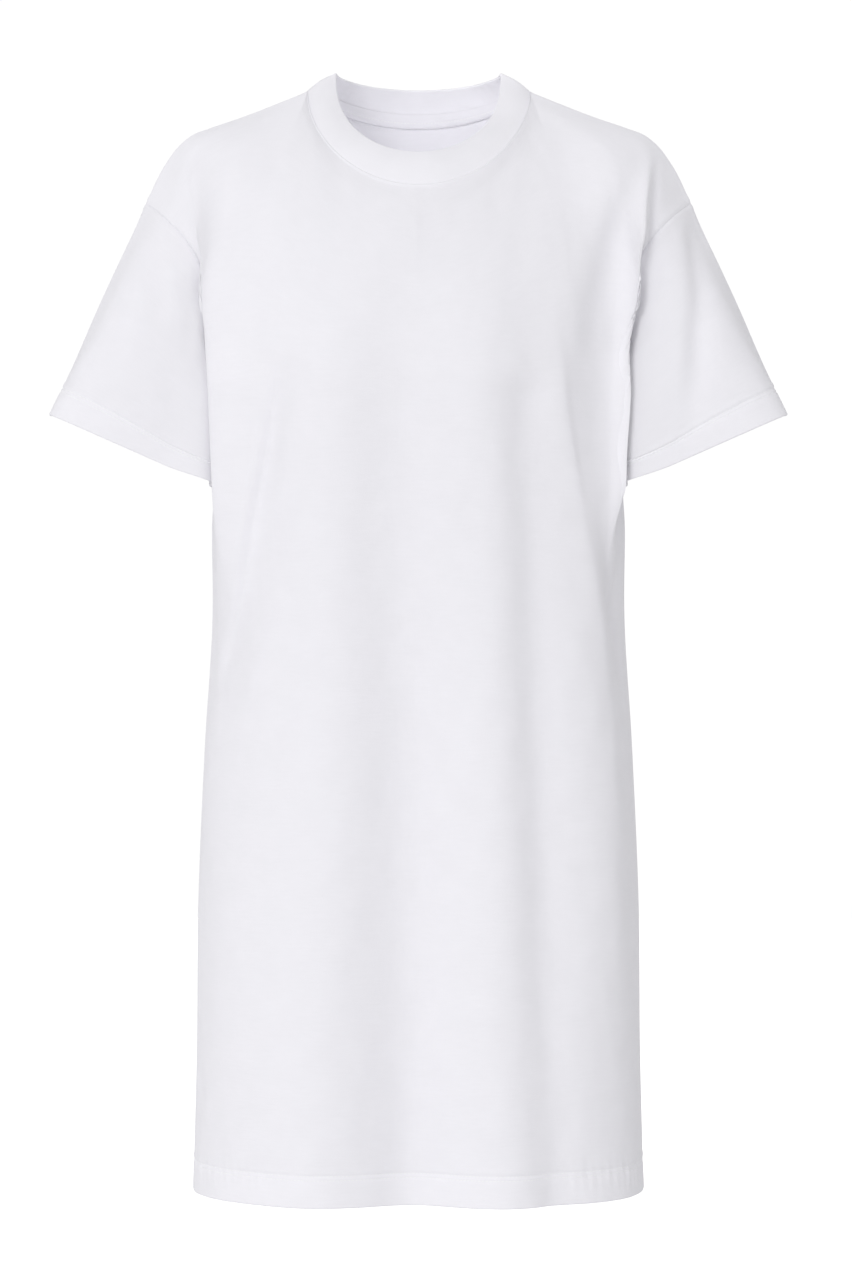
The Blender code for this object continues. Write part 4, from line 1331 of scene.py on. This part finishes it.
@dataclass
class Sleeve:
    """One short sleeve, from the armhole seam to the cuff."""

    side: Side
    form: DressForm
    hem: Hem = Hem(rows=(0.0205, 0.0238))
    seam: SeamEdge = SeamEdge()
    centre: Triple = (0.2345, 0.0, -0.2870)
    back_rise: float = 0.0070
    outward: Pair = (0.0665, 0.0295)
    depth: float = 0.0535
    inner_squareness: float = 0.24
    tuck: float = 0.0105
    tuck_lift: float = 0.0040
    tuck_below: Pair = (0.190, 0.235)
    tuck_before: Pair = (0.034, 0.054)
    tuck_within: Pair = (0.164, 0.205)
    tuck_past: float = 0.22
    fill: dict[Side, float] = field(default_factory=lambda: {Side.RIGHT: 0.0048, Side.LEFT: 0.0})
    fill_below: Pair = (0.150, 0.180)
    fill_above: Pair = (0.198, 0.222)
    fill_within: Pair = (0.166, 0.190)
    fill_past: float = 0.040
    bulge_squareness: float = 0.6
    squareness: float = 0.39
    end_squareness: float = 0.74
    cuff_points: int = 721
    fullness: float = 0.0060
    wall: float = 0.0010
    ring_gap: float = 0.0001
    step: float = 0.0040
    folds: dict[Side, tuple[Sizes, ...]] = field(default_factory=lambda: SLEEVE_FOLDS)
    creases: dict[Side, tuple[Crease, ...]] = field(default_factory=lambda: SLEEVE_CREASES)
    fold_fade: float = 0.3
    crease_from: Pair = (0.006, 0.030)
    calm: Pair = (0.004, 0.030)
    drape: Unevenness = Unevenness(31, 0.00035, (0.05, 0.12), (0.15, 0.50))
    grain: Unevenness = Unevenness(37, 0.00010, (0.016, 0.045), (0.05, 0.16), 22)

    def loops(self, body: BodyPanels) -> tuple[np.ndarray, np.ndarray, np.ndarray]:
        """The armhole loop, the cuff loop and the turn of each of their points."""
        edge = -1 if self.side is Side.LEFT else 0
        front = body.grids[Panel.FRONT][len(body.heights) - 1 :, edge]
        back = body.grids[Panel.BACK][len(body.heights) - 1 :, edge]
        loop = np.concatenate((front, back[-2:0:-1]))
        steps = np.linalg.norm(np.diff(loop, axis=0, append=loop[:1]), axis=1)
        before = np.concatenate(([0.0], np.cumsum(steps[:-1])))
        tip = before[len(body.parts)]
        turn = np.where(
            before <= tip,
            before / tip * math.pi,
            math.pi + (before - tip) / (steps.sum() - tip) * math.pi,
        )
        return loop, self.cuff_loop(turn), turn

    def cuff_loop(self, turn: np.ndarray) -> np.ndarray:
        """The cuff, boxy towards the body and rounder outside, at turns from the underarm."""
        dense = np.linspace(0.0, math.pi, self.cuff_points)
        near = dense < math.pi / 2
        inward = -power(np.cos(dense), np.where(near, self.inner_squareness, self.end_squareness))
        forward = -power(np.sin(dense), np.where(near, self.inner_squareness, self.squareness))
        x = self.side.value * (self.centre[0] + self.outward[0] * inward)
        z = self.centre[2] + self.outward[1] * inward
        places = np.stack((x, self.depth * forward, z), axis=-1)
        steps = np.linalg.norm(np.diff(places, axis=0), axis=1)
        run = np.concatenate(([0.0], np.cumsum(steps))) / steps.sum()
        front = turn <= math.pi
        part = np.where(front, turn, 2 * math.pi - turn) / math.pi
        loop = np.stack([np.interp(part, run, places[:, axis]) for axis in range(3)], axis=-1)
        loop[:, 1] *= np.where(front, 1.0, -1.0)
        loop[:, 2] += self.back_rise * ease(0.0, 1.0, loop[:, 1] / self.depth)
        return loop

    def tucked(self, grid: np.ndarray, parts: np.ndarray) -> np.ndarray:
        """The sleeve with its front corner moved in behind the body's fold and filled out above it."""
        across, forward, below = grid[..., 0], -grid[..., 1], -grid[..., 2]
        share = ease(*self.tuck_below, below) * ease(*self.tuck_before, forward)
        share = share * (1.0 - ease(*self.tuck_within, np.abs(across)))
        share = share * ease(0.0, self.tuck_past, parts)[:, None]
        grid[..., 0] -= self.side.value * self.tuck * share
        grid[..., 1] -= self.tuck_lift * share
        across, forward = grid[..., 0], -grid[..., 1]
        fill = ease(*self.fill_below, below) * (1.0 - ease(*self.fill_above, below))
        fill = fill * ease(*self.tuck_before, forward) * ease(0.0, self.fill_past, parts)[:, None]
        fill = fill * (1.0 - ease(*self.fill_within, np.abs(across)))
        grid[..., 1] -= self.fill[self.side] * fill
        return grid

    def shape(self, body: BodyPanels) -> None:
        """Work out the sleeve's outer points and normals."""
        loop, cuff, turn = self.loops(body)
        low, tip = loop[0], loop[len(body.parts)]
        outward = np.cross(tip - low, (0.0, 1.0, 0.0))
        outward = unit(outward * np.sign(outward[0] * self.side.value))
        start = loop + unit(unit(cuff - loop) + outward) * self.ring_gap
        length = np.linalg.norm(cuff - loop, axis=1).max()
        from_cuff = spaced(0.0, length, self.hem.fine, self.step)
        from_seam = np.array((0.0, *self.seam.fine))
        parts = 1.0 - from_cuff[from_cuff < length - self.seam.fine[-1] - self.step / 2] / length
        parts = np.concatenate((from_seam / length, parts[::-1]))
        bulge = self.fullness * power(np.sin(turn), self.bulge_squareness)
        rows = []
        for part in parts:
            row = start + (cuff - start) * part
            row[:, 1] -= bulge * math.sin(math.pi * part)
            rows.append(row)
        grid = self.tucked(np.array(rows), parts)
        facing = -self.side.value
        normals = grid_normals(grid, closed=True) * facing
        up = length * (1.0 - parts)[:, None]
        press = 0.0
        for angle, start_part, end_part, depth, width in self.folds[self.side]:
            fade = ease(start_part, start_part + self.fold_fade, parts)
            fade = fade * (1.0 - ease(end_part - self.fold_fade, end_part, parts))
            press = press + depth * fade[:, None] * bell(np.degrees(turn) - angle, width)
        facing_front = ease(0.0, 0.5, -normals[..., 1])
        facing_front = facing_front * ease(*self.crease_from, length * parts)[:, None]
        for crease in self.creases[self.side]:
            press = press + crease.press(grid[..., 0], grid[..., 2]) * facing_front
        grid = grid - normals * press[..., None]
        normals = grid_normals(grid, closed=True) * facing
        round_cloth = run_lengths(grid, 1)[len(grid) // 2]
        whole = round_cloth[-1] * (1 + 1 / len(round_cloth))
        near = ease(*self.calm, length * parts)[:, None]
        wrap = np.sin(math.pi * round_cloth / whole)
        lift = (self.drape.lift(round_cloth, up) + self.grain.lift(round_cloth, up)) * near * wrap
        lift = lift + self.seam.lift(length * parts)[:, None]
        lift = lift + self.hem.lift(up, round_cloth)
        self.grid = grid + normals * lift[..., None]
        self.normals = grid_normals(self.grid, closed=True) * facing
        self.up = up

    def build(self, finish: bpy.types.Material) -> bpy.types.Object:
        """Make the sleeve."""
        thickness = self.hem.wall(self.up, self.wall)[..., None]
        inner = self.grid - self.normals * thickness
        name = self.side.name.lower() + "_sleeve_jersey"
        layers = self.hem.layers(self.up)
        wall = ClothMesh(name, self.grid, inner, closed=True, round_last=True, layers=layers)
        return wall.build(finish)

    def hem_row(self, height: float) -> tuple[np.ndarray, np.ndarray]:
        """Points and normals of the outer face round the cuff, at a height above its edge."""
        row = int(np.abs(self.up[:, 0] - height).argmin())
        return self.grid[row], self.normals[row]


@dataclass
class NeckBand:
    """Folded rib band round the neck, with the tape on its inside behind."""

    form: DressForm
    wall: float = 0.0024
    roll: float = 0.0016
    ring_gap: float = 0.0001
    per_quarter: int = 130
    rows: int = 14
    rib_pitch: float = 0.0023
    rib_relief: float = 0.00016
    seam_rows: tuple[float, ...] = (0.0, 0.025, 0.06, 0.10)
    rows_from: float = 0.15
    round_steps: int = 5
    seam_layers: float = 1.0
    seam_layers_width: float = 0.06
    seam_wall: float = 0.0012
    tape_span: Pair = (0.03, 0.38)
    tape_rows: int = 16
    tape_walls: Pair = (0.0007, 0.0003)
    tape_groove: float = 0.00035
    tape_groove_at: float = 0.34
    tape_groove_width: float = 0.07
    tape_gap: float = 0.0001

    def shape(self) -> None:
        """Work out the band's outer and inner points."""
        seam, rim = self.form.seam.ring(self.per_quarter), self.form.rim.ring(self.per_quarter)
        start = seam + unit(rim - seam) * self.ring_gap
        self.parts = np.concatenate((self.seam_rows, np.linspace(self.rows_from, 1.0, self.rows)))
        straight = np.array([start + (rim - start) * part for part in self.parts])
        normals = grid_normals(straight, closed=True)
        roll = np.sin(math.pi * self.parts) * self.roll
        self.outer = straight + normals * roll[:, None, None]
        self.normals = grid_normals(self.outer, closed=True)
        half = len(self.parts) // 2
        away = self.outer[half] - self.outer[half].mean(0)
        if np.einsum("ij,ij->i", self.normals[half], away).mean() < 0:
            self.normals = -self.normals
        wall = self.seam_wall + (self.wall - self.seam_wall) * ease(0.0, self.rows_from, self.parts)
        self.inner = self.outer - self.normals * wall[:, None, None]

    def rib_tree(self) -> bpy.types.NodeTree:
        """Build the tree that raises the ribs round the band."""
        inputs = {"Band": "Geometry", "Ribs": "Int", "Relief": "Float", "Finish": "Material"}
        group = new_group("rib_relief", inputs, "Ribbed")
        nodes = NodeTree(group)
        given = nodes.add("NodeGroupInput").outputs
        turn = nodes.add("GeometryNodeInputNamedAttribute", {"data_type": "FLOAT"}, Name="turn")
        phase = nodes.math("MULTIPLY", nodes.math("MULTIPLY", turn.outputs[0], given["Ribs"]), 2 * math.pi)
        height = nodes.math("MULTIPLY", nodes.math("COSINE", phase), given["Relief"])
        normal = nodes.add("GeometryNodeInputNormal").outputs[0]
        offset = nodes.scaled(normal, height)
        moved = nodes.add("GeometryNodeSetPosition", Geometry=given["Band"], Offset=offset)
        nodes.end(moved.outputs[0], given["Finish"])
        return group

    def build(self, finish: bpy.types.Material) -> bpy.types.Object:
        """Make the band with its ribs."""
        layers = (1.0 + self.seam_layers * bell(self.parts, self.seam_layers_width))[:, None]
        wall = ClothMesh("rib_neck_band", self.outer, self.inner, closed=True, round_last=True)
        item = replace(wall, round_steps=self.round_steps, layers=layers).build(finish)
        columns = self.outer.shape[1]
        note(item.data, "turn", np.arange(len(item.data.vertices)) % columns / columns)
        ribs = int(round(run_lengths(self.outer, 1)[0, -1] / self.rib_pitch))
        values = {"Ribs": ribs, "Relief": self.rib_relief, "Finish": finish}
        return grown(item, self.rib_tree(), "ribbed_neck_band", values)

    def tape(self, finish: bpy.types.Material) -> bpy.types.Object:
        """Make the tape from the band's inner points, moved in."""
        columns = self.outer.shape[1]
        order = np.arange(2 * self.per_quarter, columns + 1) % columns
        up = np.linspace(0.0, 1.0, self.tape_rows)
        rows = self.tape_span[0] + (self.tape_span[1] - self.tape_span[0]) * up
        face = np.array([through(self.parts, self.inner[:, k], rows) for k in order])
        facing = np.array([through(self.parts, self.normals[:, k], rows) for k in order])
        face, facing = face.transpose(1, 0, 2), unit(facing.transpose(1, 0, 2))
        wall = self.tape_walls[0] + (self.tape_walls[1] - self.tape_walls[0]) * ease(0.0, 1.0, up)
        wall = wall - self.tape_groove * bell(up - self.tape_groove_at, self.tape_groove_width)
        self.tape_inner = face - facing * (self.tape_gap + wall[:, None, None])
        self.tape_facing = -facing
        wall = ClothMesh("back_neck_tape", face - facing * self.tape_gap, self.tape_inner)
        return replace(wall, round_first=True, round_last=True).build(finish)


@dataclass
class Studio:
    """Plain pale floor, soft light and the camera at the photograph's angle."""

    camera_place: Triple = (0.0062, -3.05, -0.442)
    frame_height: float = 1.0496
    seen_between: Pair = (0.05, 60.0)
    sensor: float = 36.0
    floor_height: float = -1.34
    floor_radius: float = 9.0
    floor_corners: int = 96
    floor_colour: tuple[float, float, float, float] = (0.93, 0.93, 0.93, 1.0)
    floor_roughness: float = 0.9
    floor_glow: float = 0.55
    white: tuple[float, float, float, float] = (1.0, 1.0, 1.0, 1.0)
    sky: float = 0.82
    overhead: float = 0.65
    backdrop: float = 1.02
    key_strength: float = 1.06
    key_angle: float = 22.0
    key_turn: float = -25.0
    key_rise: float = 17.0
    inner_power: float = 0.25
    inner_size: float = 0.10
    inner_place: Triple = (-0.030, -0.030, -0.300)
    inner_aim: Triple = (0.0, 0.070, 0.0)

    def camera(self) -> None:
        """Make the camera: level, square to the front."""
        data = bpy.data.cameras.new("camera")
        data.sensor_fit = "VERTICAL"
        data.sensor_height = self.sensor
        data.lens = self.sensor * -self.camera_place[1] / self.frame_height
        data.clip_start, data.clip_end = self.seen_between
        item = linked("camera", data)
        item.location = self.camera_place
        item.rotation_euler = (math.pi / 2, 0.0, 0.0)
        bpy.context.scene.camera = item

    def floor(self) -> None:
        """Make the plain pale floor."""
        turns = np.linspace(0.0, 2 * math.pi, self.floor_corners, endpoint=False)
        height = np.full(self.floor_corners, self.floor_height)
        ring = (np.cos(turns) * self.floor_radius, np.sin(turns) * self.floor_radius, height)
        mesh = bpy.data.meshes.new("floor")
        mesh.from_pydata(np.stack(ring, axis=-1).tolist(), [], [list(range(self.floor_corners))])
        sizes = {"Base Color": self.floor_colour, "Roughness": self.floor_roughness}
        material, nodes, shader = principled("pale_floor", {**sizes, "Emission Color": self.white})
        seen = nodes.add("ShaderNodeLightPath").outputs["Is Camera Ray"]
        nodes.join(nodes.math("MULTIPLY", seen, self.floor_glow), shader, "Emission Strength")
        mesh.materials.append(material)
        linked("floor", mesh)

    def light(self) -> None:
        """Light it: a white surround that is dimmer overhead, and a broad soft key from -X."""
        scene = bpy.context.scene
        scene.view_settings.view_transform = "Standard"
        world = bpy.data.worlds.new("surround")
        world.use_nodes = True
        scene.world = world
        nodes = NodeTree(world.node_tree)
        background = world.node_tree.nodes["Background"]
        background.inputs["Color"].default_value = self.white
        place = nodes.add("ShaderNodeTexCoord").outputs["Generated"]
        split = nodes.add("ShaderNodeSeparateXYZ", Vector=place)
        smooth = {"interpolation_type": "SMOOTHSTEP"}
        ends = {"To_Min": self.sky, "To_Max": self.overhead}
        ramp = nodes.add("ShaderNodeMapRange", smooth, Value=split.outputs["Z"], **ends)
        seen = nodes.add("ShaderNodeLightPath").outputs["Is Camera Ray"]
        strength = nodes.add("ShaderNodeMix", {"data_type": "FLOAT"}, i0=seen, i2=ramp, i3=self.backdrop)
        nodes.join(strength.outputs[0], background, "Strength")
        key = bpy.data.lights.new("key", "SUN")
        key.energy, key.angle = self.key_strength, math.radians(self.key_angle)
        item = linked("key", key)
        item.rotation_euler = (math.radians(90.0 - self.key_rise), 0.0, math.radians(self.key_turn))
        inner = bpy.data.lights.new("inner", "AREA")
        inner.energy, inner.size = self.inner_power, self.inner_size
        item = linked("inner", inner)
        item.location = self.inner_place
        aim = Vector(self.inner_aim) - Vector(self.inner_place)
        item.rotation_euler = aim.to_track_quat("-Z", "Y").to_euler()
        item.visible_camera = False

    def build(self) -> None:
        """Set the whole studio up."""
        self.camera()
        self.floor()
        self.light()


@dataclass
class TShirtDress:
    """The whole dress: its pieces and how they are sewn."""

    form: DressForm = field(default_factory=DressForm)

    def build(self) -> None:
        """Build every piece in order."""
        jersey, rib = JERSEY.material(), RIB.material()
        tape, thread = TAPE.material(), ThreadFinish().material()
        body = BodyPanels(self.form)
        panels = body.build(jersey)
        hem_stitches = StitchRow("hem_stitches")
        for panel in Panel:
            sew_on(panels[panel], Slot.JERSEY, (panel.name.lower(),))
            for height in body.hem.rows:
                hem_stitches.follow(*body.hem_row(panel, height))
        sew_on(hem_stitches.build(thread), Slot.JERSEY)
        for side in Side:
            sleeve = Sleeve(side, self.form)
            sleeve.shape(body)
            piece = sew_on(sleeve.build(jersey), Slot.JERSEY, ("sleeve_" + side.name.lower(),))
            cuff = StitchRow(side.name.lower() + "_cuff_stitches")
            for height in sleeve.hem.rows:
                cuff.follow(*sleeve.hem_row(height), closed=True)
            sew_on(cuff.build(thread), Slot.JERSEY)
        band = NeckBand(self.form)
        band.shape()
        band_piece = sew_on(band.build(rib), Slot.RIB, ("neck_band",))
        tape_piece = sew_on(band.tape(tape), Slot.TAPE, ("neck_tape",))
        tape_stitches = StitchRow("neck_tape_stitches", pitch=0.0028, length=0.0023)
        tape_row = int(round(band.tape_groove_at * (band.tape_rows - 1)))
        tape_stitches.follow(band.tape_inner[tape_row], band.tape_facing[tape_row])
        sew_on(tape_stitches.build(thread), Slot.TAPE)


def main() -> None:
    """Build the studio and the dress."""
    logging.basicConfig(level=logging.INFO, format="%(name)s: %(message)s")
    Studio().build()
    TShirtDress().build()


if __name__ == "__main__":
    main()
